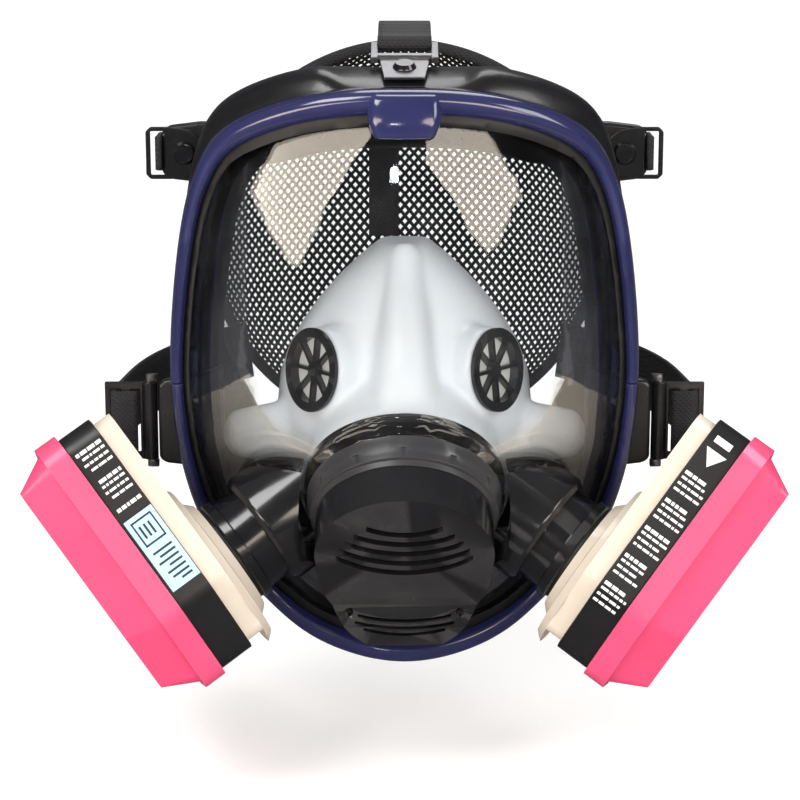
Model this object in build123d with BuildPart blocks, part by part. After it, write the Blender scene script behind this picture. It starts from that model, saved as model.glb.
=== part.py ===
from build123d import *
import math
import os

# Full face respirator. Millimetres, +Z up, the lens faces -Y, the wearer's face
# comes in from +Y. Origin: middle of the face opening, on the symmetry plane.
# "Left" is the -X side, as seen by someone looking at the mask. Paired pieces
# are built on the left and mirrored.

os.makedirs("parts", exist_ok=True)

# ---- driving dimensions ------------------------------------------------------
GAP = 0.1                 # assembly gap between clamped pieces
LENS_WALL = 2.5
GASKET_THICK = 1.6        # lens gasket under the frame band
FRAME_PROUD = 6.0         # frame front above the lens surface
FRAME_DEPTH = 7.0         # frame wall behind the lens surface
BAND_WIDTH = 8.5          # frame band at top and bottom
SPLIT_Z = -7.2            # where the upper and lower frames meet

CENTER_TILT = math.radians(37.0)   # downward tilt of the centre assembly axis
CENTER_ORIGIN = (0, -80.0, -45.0)  # on the centre ring plane
CENTER_CLEAR_R = 36.9     # zone round the centre kept free of the port holes
HOUSING_R = 29.0          # centre housing, outside
HOUSING_BORE_R = 26.2
COVER_R = 31.0            # exhalation cover, outside

PORT_ORIGIN = (-61.3, -75.0, -66.3)        # left port, mating plane centre
PORT_OUTWARD = (-0.7956, -0.2872, -0.5334)
PORT_DOWNWARD = (0.5900, -0.1680, -0.7890)  # cartridge long direction
PORT_R = 18.0             # port tube, outside

NOSE_VALVE_ORIGIN = (-31.5, -66.0, -2.0)   # left nose cup valve
NOSE_VALVE_OUTWARD = (-0.785, -0.607, 0.12)
TOP_STUD_ORIGIN = (0, -66.5, 103.0)        # clip pivot on the plate's underside
TOP_STUD_NORMAL = (0, -0.31, 0.951)

# Lens surface as stacked ellipses: (height, depth half-axis, width half-axis)
LENS_CENTER_Y = -5.0
LENS_LEVELS = [
    (-125, 38.0, 54.0), (-112, 40.0, 57.0), (-100, 43.0, 61.5), (-90, 46.5, 67.0),
    (-79, 52.0, 74.5), (-65, 63.0, 83.0), (-50, 73.5, 89.5), (-35, 84.0, 93.5),
    (-20, 91.5, 95.5), (-5, 93.5, 96.5), (20, 93.0, 96.0), (50, 91.5, 94.0),
    (80, 88.0, 91.0), (104, 83.0, 88.0), (118, 80.0, 85.0),
]

# Frame outline seen from the front, right half from the top down: (x, z)
OUTLINE_HALF = [
    (18, 98.2), (34, 95.8), (50.5, 90.5), (64.5, 81.8), (72.8, 69),
    (78.9, 47), (82.4, 20.5), (83.7, -5), (82.7, -25), (80.0, -46),
    (75.6, -63), (66.0, -80.5), (52.5, -95.5), (39.2, -106.2), (21.5, -113.6),
]
OUTLINE = (
    [(0, 98.8)] + OUTLINE_HALF
    + [(0, -116.8)] + [(-x, z) for x, z in reversed(OUTLINE_HALF)]
)
OUTLINE_SAMPLES = 72


# ---- helpers -----------------------------------------------------------------
def front_plane(y):
    """Plane at the given Y that faces the front (-Y); its axes are X and Z."""
    return Plane.XZ.offset(-y)


def both_sides(x, y):
    return [(x, y), (-x, y)]


def mirrored(part):
    """Copy of a left part on the right side."""
    with BuildPart() as piece:
        mirror(part, about=Plane.YZ)
    return piece.part


def rod(plane, radius, length):
    with BuildPart() as piece:
        with BuildSketch(plane):
            Circle(radius)
        extrude(amount=length)
    return piece.part


def washer(plane, outer, inner, length):
    with BuildPart() as piece:
        with BuildSketch(plane):
            Circle(outer)
            Circle(inner, mode=Mode.SUBTRACT)
        extrude(amount=length)
    return piece.part


def turned(plane, profile):
    """Turn a (radius, height) profile about the plane's normal."""
    radial = Plane(
        origin=plane.origin, x_dir=plane.x_dir, z_dir=plane.x_dir.cross(plane.z_dir)
    )
    with BuildPart() as piece:
        with BuildSketch(radial):
            with BuildLine():
                Polyline(*profile, close=True)
            make_face()
        revolve(axis=Axis(plane.origin, plane.z_dir))
    return piece.part


def ellipse_loft(levels, center_y, grow):
    """Loft through horizontal ellipses, each half-axis enlarged by grow."""
    with BuildPart() as piece:
        for z, half_depth, half_width in levels:
            with BuildSketch(Plane.XY.offset(z)):
                with Locations((0, center_y)):
                    Ellipse(half_width + grow, half_depth + grow)
        loft()
    return piece.part


def envelope(grow):
    """Solid inside the lens surface moved outward by grow."""
    return ellipse_loft(LENS_LEVELS, LENS_CENTER_Y, grow)


def outline_points(inset):
    """Frame outline moved inward. The band is narrower at the sides."""
    edge = Edge.make_spline([Vector(x, z, 0) for x, z in OUTLINE], periodic=True)
    points = []
    for i in range(OUTLINE_SAMPLES):
        point = edge.position_at(i / OUTLINE_SAMPLES)
        tangent = edge.tangent_at(i / OUTLINE_SAMPLES)
        # the outline runs clockwise, so this normal points inward
        normal_x, normal_z = tangent.Y, -tangent.X
        shift = inset * (0.59 + 0.41 * abs(normal_z))
        points.append((point.X + normal_x * shift, point.Y + normal_z * shift))
    return points


def outline_prism(inset, y_front=-140.0, y_back=-6.0):
    points = outline_points(inset)
    with BuildPart() as piece:
        with BuildSketch(front_plane(y_back)):
            with BuildLine():
                Spline(*points, periodic=True)
            make_face()
        extrude(amount=y_back - y_front)
    return piece.part


# ---- local planes, each normal pointing outward ------------------------------
CENTER = Plane(
    origin=CENTER_ORIGIN,
    x_dir=(1, 0, 0),
    z_dir=(0, -math.cos(CENTER_TILT), -math.sin(CENTER_TILT)),
)

port_axis = Vector(*PORT_OUTWARD).normalized()
port_down = Vector(*PORT_DOWNWARD).normalized()
port_down = (port_down - port_axis * port_down.dot(port_axis)).normalized()
PORT = Plane(origin=PORT_ORIGIN, x_dir=port_down, z_dir=port_axis)

nose_axis = Vector(*NOSE_VALVE_OUTWARD).normalized()
NOSE_VALVE = Plane(
    origin=NOSE_VALVE_ORIGIN,
    x_dir=Vector(0, 0, 1).cross(nose_axis).normalized(),
    z_dir=nose_axis,
)

TOP = Plane(
    origin=TOP_STUD_ORIGIN, x_dir=(1, 0, 0), z_dir=Vector(*TOP_STUD_NORMAL).normalized()
)


def across(vector):
    return (-vector.X, vector.Y, vector.Z)


NOSE_VALVE_RIGHT = Plane(
    origin=across(NOSE_VALVE.origin),
    x_dir=across(NOSE_VALVE.x_dir),
    z_dir=across(NOSE_VALVE.z_dir),
)

# ---- solids shared by several pieces -----------------------------------------
frame_front = envelope(FRAME_PROUD)
frame_under = envelope(GASKET_THICK + GAP)
frame_outline = outline_prism(0)
lens_outline = outline_prism(4.6)
center_zone = rod(CENTER.offset(-40), CENTER_CLEAR_R, 90)
center_zone_clear = rod(CENTER.offset(-40), CENTER_CLEAR_R + GAP, 90)


# ---- lens --------------------------------------------------------------------
LAND_R = 36.0             # flat mounting land for the centre assembly
LAND_BACK, LAND_FRONT = -5.0, -0.5


def lens():
    outside = envelope(0.0)
    inside = envelope(-LENS_WALL)
    port_rod = rod(PORT.offset(-70), PORT_R + GAP, 75)
    with BuildPart() as port_hole:
        add(port_rod)
        add(center_zone, mode=Mode.SUBTRACT)
    with BuildPart() as piece:
        add(outside)
        add(inside, mode=Mode.SUBTRACT)
        add(lens_outline, mode=Mode.INTERSECT)
        # cut the curved wall away, then put the flat land in
        with BuildSketch(CENTER.offset(LAND_FRONT)):
            Circle(LAND_R + 0.3)
        extrude(amount=30, mode=Mode.SUBTRACT)
        with BuildSketch(CENTER.offset(LAND_BACK)):
            Circle(LAND_R)
        extrude(amount=LAND_FRONT - LAND_BACK)
        with BuildSketch(CENTER.offset(-30)):
            Circle(LAND_R - 0.05)
        extrude(amount=LAND_BACK + 30, mode=Mode.SUBTRACT)
        # hole for the centre housing
        with BuildSketch(CENTER.offset(-12)):
            Circle(30.2)
        extrude(amount=30, mode=Mode.SUBTRACT)
        # cartridge port holes, kept clear of the centre land
        add(port_hole.part, mode=Mode.SUBTRACT)
        add(
            mirror(port_hole.part, about=Plane.YZ, mode=Mode.PRIVATE),
            mode=Mode.SUBTRACT,
        )
    return piece.part


def lens_gasket():
    top = envelope(GASKET_THICK)
    bottom = envelope(0.05)
    opening = outline_prism(12.2)
    with BuildPart() as skin:
        add(top)
        add(bottom, mode=Mode.SUBTRACT)
    with BuildPart() as band:
        add(lens_outline)
        add(opening, mode=Mode.SUBTRACT)
    with BuildPart() as piece:
        add(skin.part)
        add(band.part, mode=Mode.INTERSECT)
    return piece.part


# ---- two-part lens frame -----------------------------------------------------
EAR_DEPTH = 9.5           # ears for the joining screws
EAR_Y = -45.25
EAR_HEIGHT = 9.0
FRAME_SCREWS = both_sides(77.6, -45.2)
TAB_OUTLINE = [           # (x, z)
    (-11, 97), (-13.8, 90), (-11.2, 82.3), (11.2, 82.3), (13.8, 90), (11, 97),
]


def frame_layer(inner, opening):
    """Frame skin from its front surface down to inner, less the opening."""
    with BuildPart() as piece:
        add(frame_front)
        add(inner, mode=Mode.SUBTRACT)
        add(frame_outline, mode=Mode.INTERSECT)
        add(opening, mode=Mode.SUBTRACT)
    return piece.part


frame_band = frame_layer(frame_under, outline_prism(BAND_WIDTH))
frame_wall = frame_layer(envelope(-FRAME_DEPTH), outline_prism(4.0))


def lens_frame_upper():
    tab_front = envelope(FRAME_PROUD + 2.2)
    with BuildPart() as tab:
        with BuildSketch(front_plane(-60)):
            with BuildLine():
                Polyline(*TAB_OUTLINE, close=True)
            make_face()
        extrude(amount=60)
        add(tab_front, mode=Mode.INTERSECT)
        add(frame_under, mode=Mode.SUBTRACT)
    with BuildPart() as piece:
        add(frame_band)
        add(frame_wall)
        with BuildSketch(Plane.XY.offset(SPLIT_Z + GAP)):
            Rectangle(220, 320)
        extrude(amount=140, mode=Mode.INTERSECT)
        with BuildSketch(Plane.XY.offset(SPLIT_Z + GAP)):
            with Locations(*both_sides(78.6, EAR_Y)):
                Rectangle(8.8, EAR_DEPTH)
        extrude(amount=EAR_HEIGHT)
        with Locations(Plane.XY.offset(SPLIT_Z)):
            with Locations(*FRAME_SCREWS):
                Hole(1.25)
        add(tab.part)
    return piece.part


def lens_frame_lower():
    with BuildPart() as piece:
        add(frame_band)
        add(frame_wall)
        with BuildSketch(Plane.XY.offset(SPLIT_Z - GAP - 140)):
            Rectangle(220, 320)
        extrude(amount=140, mode=Mode.INTERSECT)
        with BuildSketch(Plane.XY.offset(SPLIT_Z - GAP - EAR_HEIGHT)):
            with Locations(*both_sides(78.0, EAR_Y)):
                Rectangle(8.0, EAR_DEPTH)
        extrude(amount=EAR_HEIGHT)
        with Locations(Plane.XY.offset(SPLIT_Z - 5)):
            with Locations(*FRAME_SCREWS):
                Hole(1.75)
    return piece.part


def frame_screws():
    shank_z = SPLIT_Z - EAR_HEIGHT - 2 * GAP
    head_height = 2.1
    with BuildPart() as piece:
        with BuildSketch(Plane.XY.offset(shank_z)):
            with Locations(*FRAME_SCREWS):
                Circle(1.2)
        extrude(amount=17)
        with BuildSketch(Plane.XY.offset(shank_z - head_height)):
            with Locations(*FRAME_SCREWS):
                Circle(2.7)
                RegularPolygon(1.2, 6, mode=Mode.SUBTRACT)
        extrude(amount=head_height)
    return piece.part


# ---- face seal ---------------------------------------------------------------
EAR_BACK_Y = -25.0        # ears for the strap hardware
STUD_X, STUD_Z = 79.5, 71.0
BUCKLE_Z = -29.0
EAR_HOLE_R = 2.1
# Forehead roll, front view: (x, z)
ROLL_TOP = [
    (-66, 78), (-58, 92), (-44, 100.5), (-22, 105.5), (0, 107),
    (22, 105.5), (44, 100.5), (58, 92), (66, 78),
]
ROLL_BOTTOM = [
    (58, 70), (40, 83), (20, 87.5), (0, 88.5), (-20, 87.5), (-40, 83), (-58, 70),
]


def face_seal():
    outside = outline_prism(4.25, y_back=6.0)
    opening = outline_prism(19.0, y_front=-150, y_back=16.0)
    lens_inside = envelope(-LENS_WALL - GAP)
    around_frame = outline_prism(-6.0, y_front=-130)
    inside_wall = outline_prism(4.2, y_front=-150, y_back=0.0)
    behind_frame = envelope(-FRAME_DEPTH - 0.3)
    with BuildPart() as frame_room:
        add(around_frame)
        add(inside_wall, mode=Mode.SUBTRACT)
        add(behind_frame, mode=Mode.SUBTRACT)
    with BuildPart() as body:
        add(outside)
        add(opening, mode=Mode.SUBTRACT)
        add(lens_inside, mode=Mode.INTERSECT)
        # forehead roll that rises behind the frame's top edge
        with BuildSketch(front_plane(-38)):
            with BuildLine():
                Spline(*ROLL_TOP)
                Line(ROLL_TOP[-1], ROLL_BOTTOM[0])
                Spline(*ROLL_BOTTOM)
                Line(ROLL_BOTTOM[-1], ROLL_TOP[0])
            make_face()
        extrude(amount=34)
        add(lens_inside, mode=Mode.INTERSECT)
        # top slope the strap clip lies on
        with BuildSketch(TOP.offset(-0.05)):
            Rectangle(260, 260)
        extrude(amount=60, mode=Mode.SUBTRACT)
        # upper ears for the studs, lower ears for the buckles
        with BuildSketch(front_plane(EAR_BACK_Y)):
            with Locations(*both_sides(77.0, STUD_Z)):
                Rectangle(22.6, 22)
            with Locations(*both_sides(81.5, BUCKLE_Z)):
                Rectangle(20, 32)
        extrude(amount=6)
        add(frame_room.part, mode=Mode.SUBTRACT)
        # rear face hollowed to a head
        with BuildSketch(Plane.XY.offset(-140)):
            with Locations((0, 78)):
                Circle(106)
        extrude(amount=280, mode=Mode.SUBTRACT)
        # pockets for the frame's screw ears
        with BuildSketch(Plane.XY.offset(SPLIT_Z - 12.5)):
            with Locations(*both_sides(79, -46)):
                Rectangle(12, 13.5)
        extrude(amount=22.5, mode=Mode.SUBTRACT)
    with BuildPart() as piece:
        # the cuts leave loose scraps; keep the main body
        add(body.part.solids().sort_by(SortBy.VOLUME)[-1])
        # hole for the top stud's shank
        with BuildSketch(TOP.offset(-2.0)):
            Circle(EAR_HOLE_R)
        extrude(amount=4, mode=Mode.SUBTRACT)
        # shank holes in the two upper ears
        with BuildSketch(front_plane(-20)):
            with Locations(*both_sides(STUD_X, STUD_Z)):
                Circle(EAR_HOLE_R)
        extrude(amount=15, mode=Mode.SUBTRACT)
    return piece.part


# ---- nose cup ----------------------------------------------------------------
CUP_WALL = 2.2
CUP_CENTER_Y = -25.0
# (height, depth half-axis, width half-axis)
CUP_LEVELS = [
    (-67, 24, 27), (-60, 32, 36), (-45, 45, 44.5), (-30, 53, 46.5), (-12, 57, 45.5),
    (5, 56, 41), (20, 50, 33), (35, 41, 21), (48, 31, 8),
]
# the hollow shares the middle levels and closes short of both ends
CUP_HOLLOW_LEVELS = [(-66.0, 25, 28)] + CUP_LEVELS[1:-1] + [(45.5, 33.5, 11)]


def nose_cup():
    outside = ellipse_loft(CUP_LEVELS, CUP_CENTER_Y, 0)
    hollow = ellipse_loft(CUP_HOLLOW_LEVELS, CUP_CENTER_Y, -CUP_WALL)
    with BuildPart() as piece:
        add(outside)
        # collar round the centre housing
        with BuildSketch(CENTER.offset(-30)):
            Circle(34.5)
        extrude(amount=20.4)
        # bosses for the two valves
        for valve in (NOSE_VALVE, NOSE_VALVE_RIGHT):
            with BuildSketch(valve.offset(-7)):
                Circle(15.6)
            extrude(amount=7.9)
        add(hollow, mode=Mode.SUBTRACT)
        # flat front behind the housing flange, and the housing's hole
        with BuildSketch(CENTER.offset(-9.6)):
            Circle(40)
        extrude(amount=30, mode=Mode.SUBTRACT)
        with BuildSketch(CENTER.offset(-60)):
            Circle(HOUSING_R + 0.2)
        extrude(amount=60, mode=Mode.SUBTRACT)
        for valve in (NOSE_VALVE, NOSE_VALVE_RIGHT):
            with BuildSketch(valve.offset(-10)):
                Circle(SEAT_BODY_R + GAP)
            extrude(amount=20, mode=Mode.SUBTRACT)
        # open rear for the nose and mouth
        with BuildSketch(front_plane(-28)):
            Rectangle(200, 300)
        extrude(amount=-80, mode=Mode.SUBTRACT)
    return piece.part


SEAT_BODY_R = 13.0
SEAT_BORE_R = 11.6
SEAT_PROFILE = [          # (radius, height)
    (SEAT_BORE_R, -3), (SEAT_BODY_R, -3), (SEAT_BODY_R, 1.0),
    (14.9, 1.0), (14.9, 2.4), (SEAT_BORE_R, 2.4),
]


def nose_valve_seat():
    ring = turned(NOSE_VALVE, SEAT_PROFILE)
    with BuildPart() as piece:
        add(ring)
        # hub and spokes
        with BuildSketch(NOSE_VALVE.offset(-1)):
            Circle(3.0)
            with PolarLocations(0, 8):
                with Locations((6.2, 0)):
                    Rectangle(11.4, 1.3)
        extrude(amount=2.2)
        # post that holds the flap
        with BuildSketch(NOSE_VALVE.offset(-4.4)):
            Circle(1.0)
        extrude(amount=4)
    return piece.part


def nose_valve_flap():
    return washer(NOSE_VALVE.offset(-1.9), SEAT_BORE_R - GAP, 1.08, 0.8)


# ---- centre assembly ---------------------------------------------------------
# heights are along the centre axis, outward from the ring plane
FLANGE_BACK, FLANGE_FRONT, FLANGE_R = -9.4, -6.4, 35.0
HOUSING_PROFILE = [       # (radius, height)
    (HOUSING_BORE_R, -14), (HOUSING_R, -14), (HOUSING_R, FLANGE_BACK),
    (FLANGE_R, FLANGE_BACK), (FLANGE_R, FLANGE_FRONT), (HOUSING_R, FLANGE_FRONT),
    (HOUSING_R, 20), (HOUSING_BORE_R, 20),
]
LOCK_RING_BORE_R = HOUSING_R + 0.08
LOCK_RING_PROFILE = [     # (radius, height)
    (LOCK_RING_BORE_R, -0.35), (34.2, -0.35), (34.2, 3.2), (33.4, 5.2), (32.9, 8.2),
    (31.9, 8.6), (31.4, 10.5), (LOCK_RING_BORE_R, 10.5),
]
PLATE_BACK = 4.0          # valve plate
PLATE_THICK = 2.6
ON_PLATE = PLATE_BACK + PLATE_THICK + GAP
DIAPHRAGM_AT = (0, 12.0)
DIAPHRAGM_THICK = 0.3
EXHALE_AT = (0, -13.4)


def center_housing():
    body = turned(CENTER, HOUSING_PROFILE)
    with BuildPart() as piece:
        add(body)
        # shelf the valve plate rests on
        with BuildSketch(CENTER.offset(2.0)):
            Circle(HOUSING_BORE_R + 0.2)
            Circle(24.4, mode=Mode.SUBTRACT)
        extrude(amount=1.9)
    return piece.part


def center_gasket():
    return washer(CENTER.offset(FLANGE_FRONT + GAP), 35.4, HOUSING_R + 0.15, 1.25)


def center_lock_ring():
    ring = turned(CENTER, LOCK_RING_PROFILE)
    with BuildPart() as piece:
        add(ring)
        # shallow grip notches around the rim
        with BuildSketch(CENTER.offset(4.4)):
            with PolarLocations(34.6, 12):
                Circle(1.6)
        extrude(amount=8, mode=Mode.SUBTRACT)
    return piece.part


def exhalation_valve_seat():
    with BuildPart() as piece:
        with BuildSketch(CENTER.offset(PLATE_BACK)):
            Circle(HOUSING_BORE_R - GAP)
            with Locations(DIAPHRAGM_AT):
                Circle(10.5, mode=Mode.SUBTRACT)
            with Locations(EXHALE_AT):
                Circle(8.6, mode=Mode.SUBTRACT)
        extrude(amount=PLATE_THICK)
        # hub and spokes across the valve opening
        with BuildSketch(CENTER.offset(PLATE_BACK)):
            with Locations(EXHALE_AT):
                Circle(2.2)
                with PolarLocations(0, 4):
                    with Locations((4.6, 0)):
                        Rectangle(8.6, 1.4)
        extrude(amount=PLATE_THICK)
        # post that holds the flap
        with BuildSketch(CENTER.offset(6.0)):
            with Locations(EXHALE_AT):
                Circle(1.2)
        extrude(amount=4)
    return piece.part


def exhalation_flap():
    with BuildPart() as piece:
        with BuildSketch(CENTER.offset(ON_PLATE)):
            with Locations(EXHALE_AT):
                Circle(10.0)
                Circle(1.28, mode=Mode.SUBTRACT)
        extrude(amount=0.8)
    return piece.part


def speaking_diaphragm():
    with BuildPart() as piece:
        with BuildSketch(CENTER.offset(ON_PLATE)):
            with Locations(DIAPHRAGM_AT):
                Circle(12.6)
        extrude(amount=DIAPHRAGM_THICK)
    return piece.part


def diaphragm_retainer():
    with BuildPart() as piece:
        with BuildSketch(CENTER.offset(ON_PLATE + DIAPHRAGM_THICK + GAP)):
            with Locations(DIAPHRAGM_AT):
                Circle(13.2)
                Circle(10.6, mode=Mode.SUBTRACT)
                Rectangle(24, 1.6)
                Rectangle(1.6, 24)
        extrude(amount=2.4)
    return piece.part


# ---- exhalation cover --------------------------------------------------------
# Chin side profiles (y, z): disc bottom, chin front, chin tip, underside, rear
CHIN_OUTSIDE = [
    (-100.4, -60.3), (-83.4, -83.0), (-84.9, -91.0), (-85.2, -97.2),
    (-82.0, -99.2), (-72.5, -94.2), (-66.2, -78.2), (-88.7, -51.6),
]
CHIN_INSIDE = [
    (-97.5, -60.0), (-81.0, -82.6), (-82.8, -91.2), (-82.9, -96.0),
    (-82.0, -96.8), (-74.0, -92.6), (-68.6, -79.6), (-88.7, -54.4),
]
CHIN_HALF_WIDTH = 45      # wider than the chin, so the outline alone shapes it
# Sagging slots: (middle of the upper edge, half length, rise at the ends)
SOUND_SLOTS = [
    (13.6, 13.0, 3.4), (8.2, 17.2, 4.6), (2.8, 20.2, 6.0),
    (-2.6, 22.4, 7.4), (-8.0, 23.6, 8.6),
]
CHIN_SLOTS = [(-88.2, 16.5, 1.9), (-90.6, 17.6, 1.9), (-93.0, 14.5, 1.9)]
CHIN_CUT = front_plane(-80.5)
CHIN_CUT_DEPTH = 9


def egg_points(radius, drop):
    """Cover outline in the centre plane: round on top, drawn down to a chin."""
    power = 2 / 2.7       # fuller than an ellipse, so that the chin keeps its width
    points = []
    for i in range(48):
        angle = 2 * math.pi * i / 48
        x, y = radius * math.cos(angle), radius * math.sin(angle)
        if y < 0:
            x = radius * math.copysign(abs(math.cos(angle)) ** power, math.cos(angle))
            y = -(radius + drop) * abs(math.sin(angle)) ** power
        points.append((x, y))
    return points


def chin_block(radius, drop, side_profile):
    with BuildPart() as piece:
        with BuildSketch(CENTER.offset(4)):
            with BuildLine():
                Spline(*egg_points(radius, drop), periodic=True)
            make_face()
        extrude(amount=40)
        with BuildSketch(Plane.YZ.offset(-CHIN_HALF_WIDTH)):
            with BuildLine():
                Polyline(*side_profile, close=True)
            make_face()
        extrude(amount=2 * CHIN_HALF_WIDTH, mode=Mode.INTERSECT)
    return piece.part


def exhalation_cover():
    disc = rod(CENTER.offset(10.8), COVER_R, 14.7)
    disc_cavity = rod(CENTER, HOUSING_R + 0.25, 23.4)
    chin = chin_block(COVER_R - 0.35, 9.4, CHIN_OUTSIDE)
    chin_cavity = chin_block(COVER_R - 2.3, 9.1, CHIN_INSIDE)
    with BuildPart() as piece:
        add(disc)
        add(chin)
        add(disc_cavity, mode=Mode.SUBTRACT)
        add(chin_cavity, mode=Mode.SUBTRACT)
        # the lock ring turns behind the cover
        with BuildSketch(CENTER.offset(-6)):
            Circle(34.7)
        extrude(amount=16.7, mode=Mode.SUBTRACT)
        # sound slots in the disc, then exhaust slots in the chin
        for plane, depth, slot_width, slots in (
            (CENTER.offset(20), 12, 2.8, SOUND_SLOTS),
            (CHIN_CUT, CHIN_CUT_DEPTH, 1.1, CHIN_SLOTS),
        ):
            for middle, half, rise in slots:
                end = middle + rise
                low_end, low_middle = end - slot_width, middle - slot_width
                with BuildSketch(plane):
                    with BuildLine():
                        ThreePointArc((-half, end), (0, middle), (half, end))
                        Line((half, end), (half, low_end))
                        ThreePointArc((half, low_end), (0, low_middle), (-half, low_end))
                        Line((-half, low_end), (-half, end))
                    make_face()
                extrude(amount=depth, mode=Mode.SUBTRACT)
        # a small round vent on each side, above the chin slots
        with BuildSketch(CHIN_CUT):
            with Locations(*both_sides(19.6, -85.6)):
                Circle(1.5)
        extrude(amount=CHIN_CUT_DEPTH, mode=Mode.SUBTRACT)
    return piece.part


# ---- cartridge ports ---------------------------------------------------------
PORT_BASE_R = 21.6
PORT_BASE_TOP = -14.5     # where the base starts to taper
PORT_TUBE_PROFILE = [     # (radius, height)
    (15.4, -44), (PORT_R, -44), (PORT_R, -4.2), (19.6, -3.6), (19.6, -0.6), (19.0, 0),
    (15.0, 0), (15.0, 5.2), (13.0, 5.2), (13.0, -13.9), (15.4, -13.9),
]
LUG_ANGLE = 90


def port():
    lens_outside = envelope(0.12)
    tube_end = envelope(-7.0)
    bore = rod(PORT.offset(-60), 16, 52)
    tube_body = turned(PORT, PORT_TUBE_PROFILE)
    with BuildPart() as base:
        with BuildSketch(PORT.offset(-44)):
            Circle(PORT_BASE_R)
        extrude(amount=PORT_BASE_TOP + 44)
        with BuildSketch(PORT.offset(PORT_BASE_TOP)):
            Circle(PORT_BASE_R)
        extrude(amount=2.2, taper=35)
        add(lens_outside, mode=Mode.SUBTRACT)
        add(center_zone_clear, mode=Mode.SUBTRACT)
    with BuildPart() as tube:
        add(tube_body)
        add(tube_end, mode=Mode.SUBTRACT)
        add(center_zone_clear, mode=Mode.SUBTRACT)
    with BuildPart() as piece:
        add(base.part)
        add(bore, mode=Mode.SUBTRACT)
        add(tube.part)
        # bayonet lugs
        with BuildSketch(PORT.offset(2.2)):
            with PolarLocations(0, 3, start_angle=LUG_ANGLE):
                with Locations((15.4, 0)):
                    Rectangle(3.0, 8.0)
            Circle(14.0, mode=Mode.SUBTRACT)
        extrude(amount=2.4)
        # valve spider and post
        with BuildSketch(PORT.offset(-13.8)):
            Circle(2.4)
            with PolarLocations(0, 3, start_angle=30):
                with Locations((7.2, 0)):
                    Rectangle(13.4, 1.6)
        extrude(amount=2.2)
        with BuildSketch(PORT.offset(-18.0)):
            Circle(1.1)
        extrude(amount=5)
    return piece.part


def port_retainer():
    """Ring round the tube that follows the inside of the lens."""
    front = envelope(-LENS_WALL - GAP)
    back = envelope(-5.6)
    ring = washer(PORT.offset(-56), 22.0, PORT_R + GAP, 50)
    with BuildPart() as piece:
        add(ring)
        add(front, mode=Mode.INTERSECT)
        add(back, mode=Mode.SUBTRACT)
        add(center_zone_clear, mode=Mode.SUBTRACT)
    return piece.part


def port_gasket():
    return washer(PORT.offset(0.15), 18.8, 17.9, 1.3)


def inhalation_flap():
    return washer(PORT.offset(-14.8), 14.2, 1.18, 0.8)


# ---- filter cartridges, heights along the port axis --------------------------
BODY_TOP_X, BODY_BOTTOM_X = -66.0, 30.0   # ends along the downward direction
BODY_HALF_WIDTH = 78.0 / 2
CORNER_CUT = (26.0, 17.0)  # lower corner cut, along and across
CORNER_R = 9.0
EDGE_TAPER = 28
PLATE_Z = 8.0
WALL_Z = 14.4
BOSS_PROFILE = [          # (radius, height)
    (15.14, 0.25), (17.7, 0.25), (17.7, 1.55), (19.5, 1.55), (21.5, 1.55),
    (24.5, 4.6), (30.5, 5.2), (33.0, 8.05), (10.0, 8.05), (10.0, 6.6),
    (17.4, 6.6), (17.4, 1.75), (15.14, 1.75),
]


def plan_face(height, inset):
    """Cartridge plan outline moved inward: lower corners cut at an angle."""
    cut_x = BODY_BOTTOM_X - CORNER_CUT[0]
    cut_y = BODY_HALF_WIDTH - CORNER_CUT[1]
    plane = PORT.offset(height)
    with BuildSketch(plane) as plan:
        with BuildLine():
            Polyline(
                (BODY_TOP_X, -BODY_HALF_WIDTH), (cut_x, -BODY_HALF_WIDTH),
                (BODY_BOTTOM_X, -cut_y), (BODY_BOTTOM_X, cut_y),
                (cut_x, BODY_HALF_WIDTH), (BODY_TOP_X, BODY_HALF_WIDTH),
                close=True,
            )
        make_face()
        fillet(plan.vertices(), CORNER_R)
        if inset:
            offset(amount=-inset, mode=Mode.REPLACE)
    face = plan.sketch.faces()[0]
    # the face has to point outward for extrude
    return face if face.normal_at().dot(plane.z_dir) > 0 else -face


def cartridge_housing():
    boss = turned(PORT, BOSS_PROFILE)
    with BuildPart() as piece:
        # thin plate and a body wall standing on it
        extrude(plan_face(PLATE_Z, 2.4), amount=WALL_Z - PLATE_Z)
        extrude(plan_face(WALL_Z, 0.9), amount=16.0)
        extrude(plan_face(12.0, 4.0), amount=20.0, mode=Mode.SUBTRACT)
        # stepped boss down to the port
        add(boss)
        # entry notches for the port's lugs
        with BuildSketch(PORT):
            with PolarLocations(0, 3, start_angle=LUG_ANGLE - 40):
                with Locations((15.6, 0)):
                    Rectangle(3.6, 8.8)
        extrude(amount=1.76, mode=Mode.SUBTRACT)
        with BuildSketch(PORT.offset(4)):
            Circle(14)
        extrude(amount=12, mode=Mode.SUBTRACT)
    return piece.part


def cartridge_label():
    with BuildPart() as piece:
        extrude(plan_face(14.6, 0), amount=12.6)
        extrude(plan_face(14.0, 0.8), amount=14, mode=Mode.SUBTRACT)
    return piece.part


def filter_cover():
    with BuildPart() as piece:
        extrude(plan_face(27.4, -2.0), amount=8.2)
        extrude(plan_face(35.6, 0.6), amount=12.4, taper=EDGE_TAPER)
        # hollow: a skirt over the housing, then the filter space
        extrude(plan_face(27.3, 0.7), amount=6.3, mode=Mode.SUBTRACT)
        extrude(plan_face(33.5, 3.6), amount=11.2, taper=EDGE_TAPER, mode=Mode.SUBTRACT)
    return piece.part


def sorbent_bed():
    with BuildPart() as piece:
        extrude(plan_face(12.2, 4.4), amount=15)
    return piece.part


def particulate_filter():
    with BuildPart() as piece:
        extrude(plan_face(33.8, 4.6), amount=9.6, taper=EDGE_TAPER)
    return piece.part


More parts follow.
